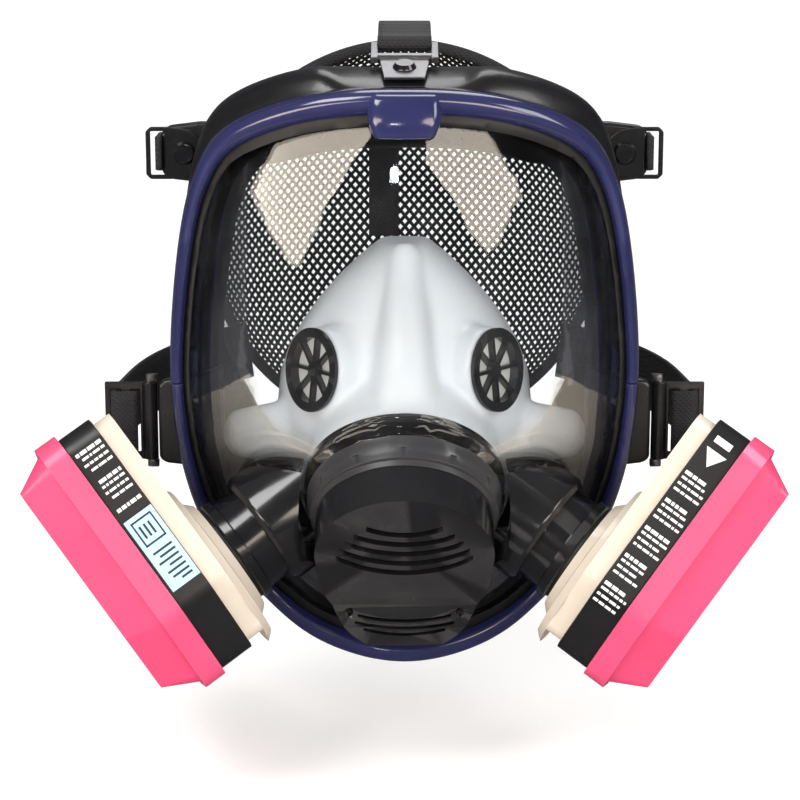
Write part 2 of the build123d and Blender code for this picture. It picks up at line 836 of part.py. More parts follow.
# ---- strap hardware ----------------------------------------------------------
CLIP_LIFT = 0.15          # top clip above its seat
TOP_CLIP_OUTLINE = [      # in the TOP plane, +y toward the rear
    (-7, -9), (7, -9), (8.4, 4), (8.4, 10), (-8.4, 10), (-8.4, 4),
]
UPPER_CLIP_OUTLINE = [    # (x, z)
    (-73.6, 66), (-73.6, 76), (-77.5, 79.2), (-84.5, 80.4), (-91.8, 80.4),
    (-93.4, 78.8), (-93.4, 63.2), (-91.8, 61.6), (-84.5, 61.6), (-77.5, 62.8),
]
HEAD_HEIGHT = 1.6         # stud heads
HEAD_TAPER = 30


def top_clip():
    with BuildPart() as piece:
        # plate with a pivot hole
        with BuildSketch(TOP.offset(CLIP_LIFT)):
            with BuildLine():
                Polyline(*TOP_CLIP_OUTLINE, close=True)
            make_face()
            Circle(2.1, mode=Mode.SUBTRACT)
        extrude(amount=1.2)
        # loop: two arms, a bar on the plate and the bar the strap is rolled on
        with BuildSketch(TOP.offset(CLIP_LIFT)):
            with Locations(*both_sides(10.5, 13)):
                Rectangle(2.4, 14)
            with Locations((0, 8.9)):
                Rectangle(22, 2.2)
            with Locations((0, 19.4)):
                Rectangle(23.4, 2.4)
        extrude(amount=2.4)
    return piece.part


def top_stud():
    with BuildPart() as piece:
        with BuildSketch(TOP.offset(-1.8)):
            Circle(2.02)
        extrude(amount=3.35)
        with BuildSketch(TOP.offset(1.5)):
            Circle(4.1)
        extrude(amount=HEAD_HEIGHT, taper=HEAD_TAPER)
    return piece.part


def side_studs():
    """Shanks through the upper ears, with tapered heads in front."""
    with BuildPart() as piece:
        with BuildSketch(front_plane(EAR_BACK_Y - 0.2)):
            with Locations(*both_sides(STUD_X, STUD_Z)):
                Circle(2.0)
        extrude(amount=7.9)
        with BuildSketch(front_plane(-33.0)):
            with Locations(*both_sides(STUD_X, STUD_Z)):
                Circle(4.2)
        extrude(amount=HEAD_HEIGHT, taper=HEAD_TAPER)
    return piece.part


def upper_clip():
    with BuildPart() as piece:
        with BuildSketch(front_plane(-31.15)):
            with BuildLine():
                Polyline(*UPPER_CLIP_OUTLINE, close=True)
            make_face()
            with Locations((-STUD_X, STUD_Z)):
                Circle(2.1, mode=Mode.SUBTRACT)
            with Locations((-UPPER_STRAP_X, STUD_Z)):
                Rectangle(5.2, 15.8, mode=Mode.SUBTRACT)
        extrude(amount=1.6)
    return piece.part


# lower buckles: a plate that swings on a pin along the ear's outer edge
UPPER_STRAP_X = 89.2
PIN_X, PIN_Y = 94.6, -28.0
PIN_HALF = 17.5           # half length of the pin
BRACKET_HEIGHT = 2.5
BUCKLE_HEIGHT = 29.2


def buckle_pins():
    with BuildPart() as piece:
        with BuildSketch(Plane.XY.offset(BUCKLE_Z - PIN_HALF)):
            with Locations(*both_sides(PIN_X, PIN_Y)):
                Circle(1.3)
        extrude(amount=2 * PIN_HALF)
        # brackets that tie the pin's ends to the ear
        for z in (BUCKLE_Z - PIN_HALF, BUCKLE_Z + PIN_HALF - BRACKET_HEIGHT):
            with BuildSketch(Plane.XY.offset(z)):
                with Locations(*both_sides(93.4, PIN_Y)):
                    Rectangle(3.4, 3.0)
            extrude(amount=BRACKET_HEIGHT)
    return piece.part


def buckle_lower():
    with BuildPart() as piece:
        # barrel round the pin
        with BuildSketch(Plane.XY.offset(BUCKLE_Z - BUCKLE_HEIGHT / 2)):
            with Locations((-PIN_X, PIN_Y)):
                Circle(2.8)
        extrude(amount=BUCKLE_HEIGHT)
        # plate with two strap slots
        with BuildSketch(front_plane(-27.0)):
            with Locations((-PIN_X - 8.6, BUCKLE_Z)):
                Rectangle(16, BUCKLE_HEIGHT)
            with Locations((-PIN_X - 5.4, BUCKLE_Z), (-PIN_X - 12.6, BUCKLE_Z)):
                Rectangle(3.6, 24.0, mode=Mode.SUBTRACT)
        extrude(amount=2.2)
        with BuildSketch(Plane.XY.offset(BUCKLE_Z - 20)):
            with Locations((-PIN_X, PIN_Y)):
                Circle(1.36)
        extrude(amount=40, mode=Mode.SUBTRACT)
    return piece.part


# ---- head harness ------------------------------------------------------------
NET_Z = 28.0              # height of the net's axis
NET_FRONT_Y = 44.0
NET_CENTER_Y = 15.24
NET_R = 82.8              # bowl, inside
NET_THICK = 1.5
STRAP_TOP_WIDTH = 19
STRAP_TOP_SIDE = [        # (y, z): outer run to the rear, inner run back
    (-44.2, 115.2), (-20, 121.5), (10, 118.5), (43.6, 107.0),
    (43.6, 105.4), (10, 116.9), (-20, 119.9), (-43.8, 113.6),
]
# Left side straps seen from above: (x, y)
STRAP_UPPER_PLAN = [
    (-UPPER_STRAP_X, -31.4), (-90.8, -31.4), (-90.8, -20), (-89.6, 5),
    (-77.6, 43.6), (-76.0, 43.6), (-88.0, 4.8), (-UPPER_STRAP_X, -20),
]
STRAP_LOWER_PLAN = [
    (-107.9, -25.6), (-106.3, -25.6), (-106.0, -14), (-98.0, 8),
    (-57.4, 43.6), (-58.4, 43.6), (-99.6, 9.0), (-107.9, -14),
]


def head_net():
    """Shallow bowl, a thin shell open to the front."""
    with BuildPart() as piece:
        with BuildSketch(Plane.XY.offset(NET_Z)):
            with Locations((0, NET_CENTER_Y)):
                Circle(NET_R + NET_THICK)
                Circle(NET_R, mode=Mode.SUBTRACT)
            # keep the half section behind the binding
            with Locations((60, NET_FRONT_Y + 3 + 50)):
                Rectangle(120, 100, mode=Mode.INTERSECT)
        revolve(axis=Axis((0, 0, NET_Z), (0, 1, 0)))
    return piece.part


def net_binding():
    with BuildPart() as piece:
        with BuildSketch(front_plane(NET_FRONT_Y)):
            with Locations((0, NET_Z)):
                Circle(79.5)
                Circle(74.5, mode=Mode.SUBTRACT)
        extrude(amount=-2.8)
    return piece.part


def strap_top():
    """From the clip's bar back over the head to the net's top edge."""
    with BuildPart() as piece:
        with BuildSketch(Plane.YZ.offset(-STRAP_TOP_WIDTH / 2)):
            with BuildLine():
                Polyline(*STRAP_TOP_SIDE, close=True)
            make_face()
        extrude(amount=STRAP_TOP_WIDTH)
    return piece.part


def side_strap(middle_z, height, plan):
    with BuildPart() as piece:
        with BuildSketch(Plane.XY.offset(middle_z - height / 2)):
            with BuildLine():
                Polyline(*plan, close=True)
            make_face()
        extrude(amount=height)
    return piece.part


def strap_upper():
    return side_strap(STUD_Z, 14.5, STRAP_UPPER_PLAN)


def strap_lower():
    return side_strap(BUCKLE_Z, 23.0, STRAP_LOWER_PLAN)


# ---- build and export: each file takes its function's name -------------------
SINGLE_PIECES = (
    lens, lens_gasket, lens_frame_upper, lens_frame_lower, frame_screws,
    face_seal, nose_cup,
    center_housing, center_gasket, center_lock_ring,
    exhalation_valve_seat, exhalation_flap, speaking_diaphragm, diaphragm_retainer,
    exhalation_cover,
    top_clip, top_stud, side_studs, buckle_pins,
    head_net, net_binding, strap_top,
)
PAIRED_PIECES = (
    nose_valve_seat, nose_valve_flap,
    port, port_retainer, port_gasket, inhalation_flap,
    cartridge_housing, cartridge_label, filter_cover, sorbent_bed, particulate_filter,
    upper_clip, buckle_lower, strap_upper, strap_lower,
)


def save(name, part):
    part.label = name
    export_step(part, f"parts/{name}.step")


for make in SINGLE_PIECES:
    save(make.__name__, make())

for make in PAIRED_PIECES:
    left = make()
    save(f"{make.__name__}_left", left)
    save(f"{make.__name__}_right", mirrored(left))
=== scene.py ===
"""Full-face respirator: curved lens in a two-part frame, rubber face seal, nose cup, two
cartridges, and a head net on straps.

The mask faces -Y, +Z is up and "left" is the -X side. Shapes are worked out in millimetres
and scaled to metres as each mesh is made.
"""
import bpy
import bmesh
import math
import numpy as np
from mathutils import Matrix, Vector


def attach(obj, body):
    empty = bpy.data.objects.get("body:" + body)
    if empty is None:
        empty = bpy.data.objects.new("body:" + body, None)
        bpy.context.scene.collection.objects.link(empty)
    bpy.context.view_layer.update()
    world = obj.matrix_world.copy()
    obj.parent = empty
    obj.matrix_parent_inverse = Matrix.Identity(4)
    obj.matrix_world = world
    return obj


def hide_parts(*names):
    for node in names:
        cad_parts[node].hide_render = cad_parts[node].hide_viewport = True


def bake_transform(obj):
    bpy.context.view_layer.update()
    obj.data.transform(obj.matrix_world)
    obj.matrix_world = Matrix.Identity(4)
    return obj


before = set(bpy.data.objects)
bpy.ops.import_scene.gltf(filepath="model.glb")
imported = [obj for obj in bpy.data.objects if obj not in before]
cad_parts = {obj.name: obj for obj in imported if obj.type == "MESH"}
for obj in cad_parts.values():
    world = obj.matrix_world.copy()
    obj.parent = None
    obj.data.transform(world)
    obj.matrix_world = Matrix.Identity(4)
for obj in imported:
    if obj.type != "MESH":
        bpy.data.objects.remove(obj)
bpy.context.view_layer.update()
scene = bpy.context.scene
MM = 0.001
SIDES = (("left", -1), ("right", 1))
MIRROR_X = np.array([-1, 1, 1])


def unit(vector):
    vector = np.asarray(vector, float)
    return vector / np.linalg.norm(vector)


def unit_rows(vectors):
    return vectors / np.linalg.norm(vectors, axis=1)[:, None]


def turn_angles(count):
    """Equal steps round a full turn, without repeating the first."""
    return np.linspace(0, 2 * math.pi, count, endpoint=False)


# ------------------------------------------------------------------ driving dimensions
# Lens envelope, an ellipse at each height: z, half depth, half width
LENS_LEVELS = np.array([
    (-125, 38.0, 54.0), (-112, 40.0, 57.0), (-100, 43.0, 61.5), (-90, 46.5, 67.0),
    (-79, 52.0, 74.5), (-65, 63.0, 83.0), (-50, 73.5, 89.5), (-35, 84.0, 93.5),
    (-20, 91.5, 95.5), (-5, 93.5, 96.5), (20, 93.0, 96.0), (50, 91.5, 94.0),
    (80, 88.0, 91.0), (104, 83.0, 88.0), (118, 80.0, 85.0)], float)
LENS_CENTRE_Y = -5.0

# Right half of the frame outline seen from the front, from top to bottom: x, z
HALF_OUTLINE = [
    (18, 98.2), (34, 95.8), (50.5, 90.5), (64.5, 81.8), (72.8, 69), (78.9, 47),
    (82.4, 20.5), (83.7, -5), (82.7, -25), (80.0, -46), (75.6, -63), (66.0, -80.5),
    (52.5, -95.5), (39.2, -106.2), (21.5, -113.6)]
OUTLINE_TOP = (0, 98.8)
OUTLINE_BOTTOM = (0, -116.8)
OUTLINE = np.array(
    [OUTLINE_TOP] + HALF_OUTLINE + [OUTLINE_BOTTOM]
    + [(-x, z) for x, z in reversed(HALF_OUTLINE)], float)

# Centre housing: its axis points forward and down
HOUSING_CENTRE = np.array([0, -80.0, -45.0])
HOUSING_TILT = math.radians(37.0)
HOUSING_AXIS = np.array([0, -math.cos(HOUSING_TILT), -math.sin(HOUSING_TILT)])

# Left cartridge port: outward axis, direction down the label, and front-facing normal
PORT_CENTRE = np.array([-61.3, -75.0, -66.3])
PORT_AXIS = unit([-0.7956, -0.2872, -0.5334])
PORT_DOWN = np.array([0.59, -0.168, -0.789])
PORT_DOWN = unit(PORT_DOWN - PORT_AXIS * (PORT_DOWN @ PORT_AXIS))
PORT_FRONT = np.cross(PORT_AXIS, PORT_DOWN)

# Valve seat on the left of the nose cup
NOSE_VALVE_CENTRE = np.array([-31.5, -66.0, -2.0])
NOSE_VALVE_AXIS = unit([-0.785, -0.607, 0.12])
NOSE_VALVES = ((NOSE_VALVE_CENTRE * MIRROR_X, NOSE_VALVE_AXIS * MIRROR_X),
               (NOSE_VALVE_CENTRE, NOSE_VALVE_AXIS))

TOP_STUD_CENTRE = np.array([0, -66.5, 103.0])
TOP_STUD_AXIS = unit([0, -0.31, 0.951])


# ------------------------------------------------------------------ curves
def spline(knots, values):
    """Natural cubic spline through the points, held at its end values."""
    count = len(knots)
    gaps = np.diff(knots)
    system = np.zeros((count, count))
    target = np.zeros(count)
    system[0, 0] = system[-1, -1] = 1
    for i in range(1, count - 1):
        before, after = gaps[i - 1], gaps[i]
        system[i, i - 1:i + 2] = before, 2 * (before + after), after
        target[i] = 6 * ((values[i + 1] - values[i]) / after
                         - (values[i] - values[i - 1]) / before)
    bends = np.linalg.solve(system, target)

    def evaluate(x):
        x = np.clip(np.asarray(x, float), knots[0], knots[-1])
        i = np.clip(np.searchsorted(knots, x) - 1, 0, count - 2)
        along = x - knots[i]
        gap = gaps[i]
        slope = (values[i + 1] - values[i]) / gap - gap * (2 * bends[i] + bends[i + 1]) / 6
        return (values[i] + slope * along + bends[i] / 2 * along ** 2
                + (bends[i + 1] - bends[i]) / (6 * gap) * along ** 3)
    return evaluate


lens_depth_at = spline(LENS_LEVELS[:, 0], LENS_LEVELS[:, 1])
lens_width_at = spline(LENS_LEVELS[:, 0], LENS_LEVELS[:, 2])


def lens_y(x, z, proud=0.0):
    """Y of the lens envelope, grown outward by proud."""
    depth = lens_depth_at(z) + proud
    width = lens_width_at(z) + proud
    return float(LENS_CENTRE_Y - depth * np.sqrt(np.clip(1 - (x / width) ** 2, 0.0004, None)))


def outline_stations(count):
    """Points round the frame outline with inward normals, clockwise from the top."""
    overlap = 4  # points repeated at each end so that the spline closes smoothly
    points = np.vstack([OUTLINE[-overlap:], OUTLINE, OUTLINE[:overlap]])
    run = np.r_[0, np.cumsum(np.linalg.norm(np.diff(points, axis=0), axis=1))]
    x_at, z_at = spline(run, points[:, 0]), spline(run, points[:, 1])
    stops = np.linspace(run[overlap], run[overlap + len(OUTLINE)], count, endpoint=False)
    step = 0.05
    tangents = unit_rows(np.c_[x_at(stops + step) - x_at(stops - step),
                               z_at(stops + step) - z_at(stops - step)])
    return np.c_[x_at(stops), z_at(stops)], np.c_[tangents[:, 1], -tangents[:, 0]]


def inset_scale(normal):
    """Insets narrow toward the sides, where the lens turns away from the front."""
    return 0.59 + 0.41 * abs(normal[1])


def inset_point(point, normal, inset):
    scale = inset_scale(normal)
    return point[0] + normal[0] * inset * scale, point[1] + normal[1] * inset * scale


def lens_point(point, normal, inset, proud):
    x, z = inset_point(point, normal, inset)
    return x, lens_y(x, z, proud), z


def smooth_step(x):
    x = min(max(x, 0.0), 1.0)
    return x * x * (3 - 2 * x)


# ------------------------------------------------------------------ shader helpers
def new_material(name):
    material = bpy.data.materials.new(name)
    material.use_nodes = True
    material.node_tree.nodes.clear()
    return material, material.node_tree


def node(tree, kind, inputs=None, **settings):
    """Add a shader node. An input is either a value or the socket that feeds it."""
    made = tree.nodes.new("ShaderNode" + kind)
    for key, value in settings.items():
        setattr(made, key, value)
    for key, value in (inputs or {}).items():
        if isinstance(value, bpy.types.NodeSocket):
            tree.links.new(value, made.inputs[key])
        else:
            made.inputs[key].default_value = value
    return made


def output(tree, shader):
    node(tree, "OutputMaterial", {"Surface": shader.outputs[0]})


def object_coords(tree):
    return node(tree, "TexCoord").outputs["Object"]


def noise(tree, coords, scale, detail, roughness=0.5):
    return node(tree, "TexNoise", {"Vector": coords, "Scale": scale, "Detail": detail,
                                   "Roughness": roughness}).outputs["Fac"]


def wave(tree, coords, scale, distortion, **settings):
    return node(tree, "TexWave", {"Vector": coords, "Scale": scale, "Distortion": distortion},
                **settings).outputs["Fac"]


def ramp(tree, factor, low, high, low_at=0.0, high_at=1.0):
    made = node(tree, "ValToRGB", {"Fac": factor})
    for element, color, place in zip(made.color_ramp.elements, (low, high), (low_at, high_at)):
        element.position = place
        element.color = (*color, 1)
    return made.outputs["Color"]


def map_range(tree, value, low, high, from_low=0.0, from_high=1.0):
    return node(tree, "MapRange", {
        "Value": value, "From Min": from_low, "From Max": from_high,
        "To Min": low, "To Max": high}).outputs["Result"]


def arithmetic(tree, operation, first, second):
    return node(tree, "Math", {0: first, 1: second}, operation=operation).outputs[0]


def mix_color(tree, factor, first, second):
    # Sockets 6, 7 and output 2 are the colour ones
    return node(tree, "Mix", {"Factor": factor, 6: first, 7: second},
                data_type="RGBA").outputs[2]


def bump_normal(tree, height, strength, distance):
    return node(tree, "Bump", {"Height": height, "Strength": strength,
                               "Distance": distance}).outputs["Normal"]


# ------------------------------------------------------------------ materials
def painted_edge_highlight(tree, color, patches, highlight_color):
    """Painted highlight: lighten sharp convex edges, patchily."""
    pointiness = node(tree, "NewGeometry").outputs["Pointiness"]
    edges = ramp(tree, pointiness, low=(0, 0, 0), high=(1, 1, 1), low_at=0.52, high_at=0.62)
    highlight_amount = arithmetic(tree, "MULTIPLY", edges, patches)
    return mix_color(tree, highlight_amount, color, (*highlight_color, 1))


def scratched(tree, coords, height, amount):
    """Add stretched noise to the grain height."""
    stretched = node(tree, "Mapping", {"Vector": coords, "Scale": (1, 12, 1),
                                       "Rotation": (0.3, 0.7, 0.4)}).outputs["Vector"]
    lines = noise(tree, stretched, scale=160.0, detail=2.0)
    return arithmetic(tree, "ADD", height, arithmetic(tree, "MULTIPLY", lines, amount))


def plastic(name, color, rough=0.3, rough_var=0.08, var=0.06, grain=900.0, bump=0.02, coat=0.0,
            metallic=0.0, sheen=0.0, spec=0.5, edge=None, sss=0.0, scratches=0.0):
    """Moulded, rubber or metal surface.

    var and rough_var spread the colour and roughness, grain and bump are the scale and
    strength of the fine relief, edge is the colour of a highlight painted on convex edges, sss
    is subsurface weight.
    """
    patch_scale = 40.0
    material, tree = new_material(name)
    coords = object_coords(tree)
    patches = noise(tree, coords, scale=patch_scale, detail=5.0, roughness=0.6)
    height = noise(tree, coords, scale=grain, detail=3.0, roughness=0.7)
    smudges = noise(tree, coords, scale=patch_scale * 3.3, detail=6.0, roughness=0.65)
    base = np.array(color)
    tint = ramp(tree, patches, low=np.clip(base * (1 - var), 0, 1),
                high=np.clip(base * (1 + var) + var * 0.01, 0, 1), low_at=0.3, high_at=0.7)
    # Painted highlight: convex edges lightened towards the edge colour
    if edge is not None:
        tint = painted_edge_highlight(tree, tint, patches, edge)
    if scratches:
        height = scratched(tree, coords, height, scratches)
    shader = node(tree, "BsdfPrincipled", {
        "Base Color": tint,
        "Roughness": map_range(tree, smudges, low=max(0.02, rough - rough_var),
                               high=min(1.0, rough + rough_var)),
        "Normal": bump_normal(tree, height, strength=bump, distance=0.0004),
        "Metallic": metallic,
        "Specular IOR Level": spec,
        "Coat Weight": coat,
        "Coat Roughness": 0.06,
        "Sheen Weight": sheen})
    if sss:
        shader.inputs["Subsurface Weight"].default_value = sss
        shader.inputs["Subsurface Radius"].default_value = (0.004, 0.004, 0.005)
        shader.inputs["Subsurface Scale"].default_value = 1.0
    output(tree, shader)
    material.diffuse_color = (*color, 1)
    return material


def clear_lens():
    """Thin see-through sheet with Fresnel reflections, faint dust and wipe marks."""
    reflection = 0.62  # share of the full Fresnel reflection
    material, tree = new_material("clear_polycarbonate")
    marks = noise(tree, object_coords(tree), scale=60.0, detail=7.0, roughness=0.7)
    clear = node(tree, "BsdfTransparent", {"Color": (0.955, 0.965, 0.97, 1)})
    gloss = node(tree, "BsdfGlossy", {
        "Color": (1, 1, 1, 1), "Roughness": map_range(tree, marks, low=0.01, high=0.045)})
    dust = node(tree, "BsdfDiffuse", {"Color": (0.75, 0.78, 0.82, 1)})
    dust_amount = map_range(tree, marks, low=0.0, high=0.015, from_low=0.45, from_high=0.9)
    dusty = node(tree, "MixShader", {"Fac": dust_amount, 1: clear.outputs[0],
                                     2: dust.outputs[0]})
    fresnel = node(tree, "Fresnel", {"IOR": 1.55}).outputs[0]
    output(tree, node(tree, "MixShader", {
        "Fac": arithmetic(tree, "MULTIPLY", fresnel, reflection),
        1: dusty.outputs[0], 2: gloss.outputs[0]}))
    material.diffuse_color = (0.9, 0.92, 0.95, 0.2)
    return material


def pattern_surface(tree, pattern, low, high, strength, distance, **values):
    """One pattern drives both the colour, from low to high, and the relief."""
    output(tree, node(tree, "BsdfPrincipled", {
        "Base Color": ramp(tree, pattern, low, high),
        "Normal": bump_normal(tree, pattern, strength, distance),
        **{key.replace("_", " "): value for key, value in values.items()}}))


def woven_webbing():
    """Woven elastic: crossing threads from two wave textures, with soft sheen."""
    material, tree = new_material("woven_webbing")
    coords = object_coords(tree)
    threads = [wave(tree, coords, scale=330.0, distortion=0.6, bands_direction=direction)
               for direction in ("Z", "DIAGONAL")]
    pattern_surface(tree, arithmetic(tree, "MAXIMUM", *threads),
                    low=(0.006, 0.006, 0.007), high=(0.022, 0.022, 0.025),
                    strength=0.5, distance=0.0003,
                    Roughness=0.72, Sheen_Weight=0.06, Specular_IOR_Level=0.3)
    material.diffuse_color = (0.02, 0.02, 0.02, 1)
    return material


def carbon_granules():
    material, tree = new_material("carbon_granules")
    cells = node(tree, "TexVoronoi", {"Vector": object_coords(tree), "Scale": 900.0})
    pattern_surface(tree, cells.outputs["Distance"],
                    low=(0.05, 0.05, 0.05), high=(0.006, 0.006, 0.006),
                    strength=0.8, distance=0.0006, Roughness=0.6)
    return material


def pleated_media():
    material, tree = new_material("pleated_media")
    pattern_surface(tree, wave(tree, object_coords(tree), scale=120.0, distortion=0.3),
                    low=(0.55, 0.52, 0.46), high=(0.85, 0.83, 0.78),
                    strength=0.7, distance=0.0008, Roughness=0.85)
    return material


# edge sets the colour of the highlight painted on convex edges
MATERIALS = {
    "frame": plastic(
        "navy_gloss", color=(0.015, 0.017, 0.072), rough=0.16, rough_var=0.05, var=0.10,
        grain=500, bump=0.015, coat=0.6, edge=(0.10, 0.10, 0.22), scratches=0.4),
    "seal": plastic(
        "seal_rubber_black", color=(0.006, 0.006, 0.007), rough=0.30, rough_var=0.1, var=0.2,
        grain=700, bump=0.05, coat=0.15),
    "gasket": plastic(
        "gasket_rubber_black", color=(0.007, 0.007, 0.007), rough=0.5, var=0.2, bump=0.05),
    "cup": plastic(
        "white_silicone", color=(0.82, 0.86, 0.92), rough=0.34, var=0.03, grain=420,
        bump=0.04, coat=0.1, sss=0.25),
    "black": plastic(
        "black_satin", color=(0.006, 0.006, 0.007), rough=0.24, var=0.2, grain=1100,
        bump=0.04, edge=(0.05, 0.05, 0.05)),
    "port": plastic(
        "port_black_gloss", color=(0.005, 0.005, 0.006), rough=0.17, var=0.2, grain=700,
        coat=0.4, edge=(0.06, 0.06, 0.06), scratches=0.3),
    "cover": plastic(
        "cover_black_gloss", color=(0.007, 0.007, 0.008), rough=0.22, var=0.2, grain=1300,
        bump=0.03, coat=0.3, edge=(0.05, 0.05, 0.05), scratches=0.3),
    "grey": plastic(
        "ring_grey", color=(0.030, 0.030, 0.033), rough=0.38, var=0.12, grain=1300,
        bump=0.06, edge=(0.2, 0.2, 0.2)),
    "steel": plastic(
        "plated_steel", color=(0.26, 0.26, 0.27), rough=0.36, rough_var=0.12, var=0.08,
        grain=600, bump=0.05, metallic=1.0, scratches=1.0),
    "pink": plastic(
        "magenta_moulding", color=(0.70, 0.060, 0.165), rough=0.36, bump=0.06, coat=0.1,
        edge=(0.95, 0.35, 0.5), sss=0.08),
    "beige": plastic(
        "beige_moulding", color=(0.62, 0.55, 0.46), rough=0.42, var=0.05, bump=0.06,
        edge=(0.85, 0.78, 0.7)),
    "label": plastic(
        "label_film_black", color=(0.010, 0.010, 0.011), rough=0.36, var=0.15, grain=600,
        bump=0.03),
    "print": plastic(
        "print_white", color=(0.74, 0.75, 0.76), rough=0.5, var=0.05, grain=700, bump=0.03),
    "panel": plastic(
        "panel_light_blue", color=(0.42, 0.66, 0.86), rough=0.42, var=0.04, grain=700,
        bump=0.03),
    "ink": plastic(
        "print_dark", color=(0.02, 0.03, 0.05), rough=0.5, var=0.05, grain=700, bump=0.03),
    "valve": plastic(
        "valve_silicone", color=(0.62, 0.63, 0.60), rough=0.4, var=0.05, grain=500,
        bump=0.03, sss=0.15),
    "film": plastic(
        "amber_film", color=(0.32, 0.24, 0.10), rough=0.22, var=0.08, grain=500),
    "net": plastic(
        "net_thread", color=(0.008, 0.008, 0.009), rough=0.8, var=0.25, grain=2600,
        bump=0.3, sheen=0.08, spec=0.25),
    "web": woven_webbing(),
    "carbon": carbon_granules(),
    "paper": pleated_media(),
    "lens": clear_lens(),
}


# ------------------------------------------------------------------ modifiers
def add_bevel(obj, width, segments, angle=None):
    """Bevel of width mm; angle is the sharpest-edge limit in degrees."""
    bevel = obj.modifiers.new("bevel", "BEVEL")
    bevel.width = width * MM
    bevel.segments = segments
    if angle is not None:
        bevel.limit_method = "ANGLE"
        bevel.angle_limit = math.radians(angle)


def add_weighted_normals(obj):
    obj.modifiers.new("wn", "WEIGHTED_NORMAL")


def add_solidify(obj, thickness):
    solid = obj.modifiers.new("solid", "SOLIDIFY")
    solid.thickness = thickness * MM
    solid.offset = -1


def add_subdivision(obj, levels):
    subdivision = obj.modifiers.new("sub", "SUBSURF")
    subdivision.levels = subdivision.render_levels = levels


def shade(mesh_data, smooth=True):
    for polygon in mesh_data.polygons:
        polygon.use_smooth = smooth


# ------------------------------------------------------------------ loaded pieces
# Material of each piece; paired pieces are listed without _left or _right
PIECE_MATERIAL = {
    "lens": "lens", "lens_gasket": "gasket", "lens_frame_upper": "frame",
    "lens_frame_lower": "frame", "frame_screws": "steel", "face_seal": "seal",
    "nose_cup": "cup", "center_housing": "black", "center_gasket": "gasket",
    "center_lock_ring": "grey", "exhalation_cover": "cover", "speaking_diaphragm": "film",
    "diaphragm_retainer": "black", "exhalation_valve_seat": "black",
    "exhalation_flap": "valve", "top_clip": "steel", "top_stud": "port",
    "side_studs": "port", "buckle_pins": "steel", "head_net": "net", "net_binding": "web",
    "strap_top": "web",
    "nose_valve_seat": "black", "nose_valve_flap": "valve", "port": "port",
    "port_retainer": "black", "port_gasket": "gasket", "inhalation_flap": "valve",
    "cartridge_housing": "beige", "cartridge_label": "label", "filter_cover": "pink",
    "sorbent_bed": "carbon", "particulate_filter": "paper", "upper_clip": "black",
    "buckle_lower": "black", "strap_upper": "web", "strap_lower": "web",
}
# Bevel width, mm
PIECE_BEVEL = {
    "exhalation_cover": 0.5, "center_lock_ring": 0.4, "top_clip": 0.35, "top_stud": 0.4,
    "side_studs": 0.4, "port": 0.4, "cartridge_housing": 1.0, "filter_cover": 2.4,
    "cartridge_label": 0.3, "upper_clip": 0.4, "buckle_lower": 0.4, "nose_valve_seat": 0.3,
}


def dress_piece(name, obj):
    kind = name.removesuffix("_left").removesuffix("_right")
    obj.data.materials.clear()
    obj.data.materials.append(MATERIALS[PIECE_MATERIAL[kind]])
    weld = obj.modifiers.new("weld", "WELD")
    weld.merge_threshold = 0.00002
    if kind in PIECE_BEVEL:
        add_bevel(obj, PIECE_BEVEL[kind], segments=3, angle=38)
    add_weighted_normals(obj)
    shade(obj.data)


for piece_name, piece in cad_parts.items():
    dress_piece(piece_name, piece)


# ------------------------------------------------------------------ mesh helpers
def link_object(name, data):
    obj = bpy.data.objects.new(name, data)
    scene.collection.objects.link(obj)
    return obj


def bare_object(name, verts, faces):
    """Object from millimetre vertices, with its normals facing outward."""
    data = bpy.data.meshes.new(name)
    data.from_pydata([tuple(float(c) * MM for c in vert) for vert in verts], [], faces)
    data.update()
    bm = bmesh.new()
    bm.from_mesh(data)
    bmesh.ops.recalc_face_normals(bm, faces=bm.faces)
    bm.to_mesh(data)
    bm.free()
    return link_object(name, data)


def add_mesh(name, shape, material, body=None, smooth=True, subdivision=0):
    obj = bare_object(name, *shape)
    obj.data.materials.append(MATERIALS[material])
    shade(obj.data, smooth)
    if subdivision:
        add_subdivision(obj, subdivision)
    if body:
        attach(obj, body)
    return obj


def tube(rings, closed_ring=True, joined=True, capped=False):
    """Skin over a grid of rings. joined links the last ring back to the first."""
    rings = np.asarray(rings)
    count, size, _ = rings.shape
    faces = []
    for i in range(count if joined else count - 1):
        near, far = i * size, ((i + 1) % count) * size
        for j in range(size if closed_ring else size - 1):
            k = (j + 1) % size
            faces.append((near + j, near + k, far + k, far + j))
    if capped:
        faces.append(tuple(range(size)))
        faces.append(tuple(range((count - 1) * size, count * size))[::-1])
    return rings.reshape(-1, 3), faces


def rod(rings):
    return tube(rings, joined=False, capped=True)


def prism(bottom, top):
    """Solid between two matching polygons."""
    n = len(bottom)
    sides = [(i, (i + 1) % n, n + (i + 1) % n, n + i) for i in range(n)]
    return bottom + top, [tuple(range(n)), tuple(range(n, 2 * n))[::-1]] + sides


def merged(shapes):
    verts, faces = [], []
    for shape_verts, shape_faces in shapes:
        base = len(verts)
        verts.extend(shape_verts)
        faces.extend([tuple(base + i for i in face) for face in shape_faces])
    return verts, faces


def apply_modifiers(obj):
    evaluated = obj.evaluated_get(bpy.context.evaluated_depsgraph_get())
    result = bpy.data.meshes.new_from_object(evaluated)
    previous = obj.data
    obj.modifiers.clear()
    obj.data = result
    bpy.data.meshes.remove(previous)


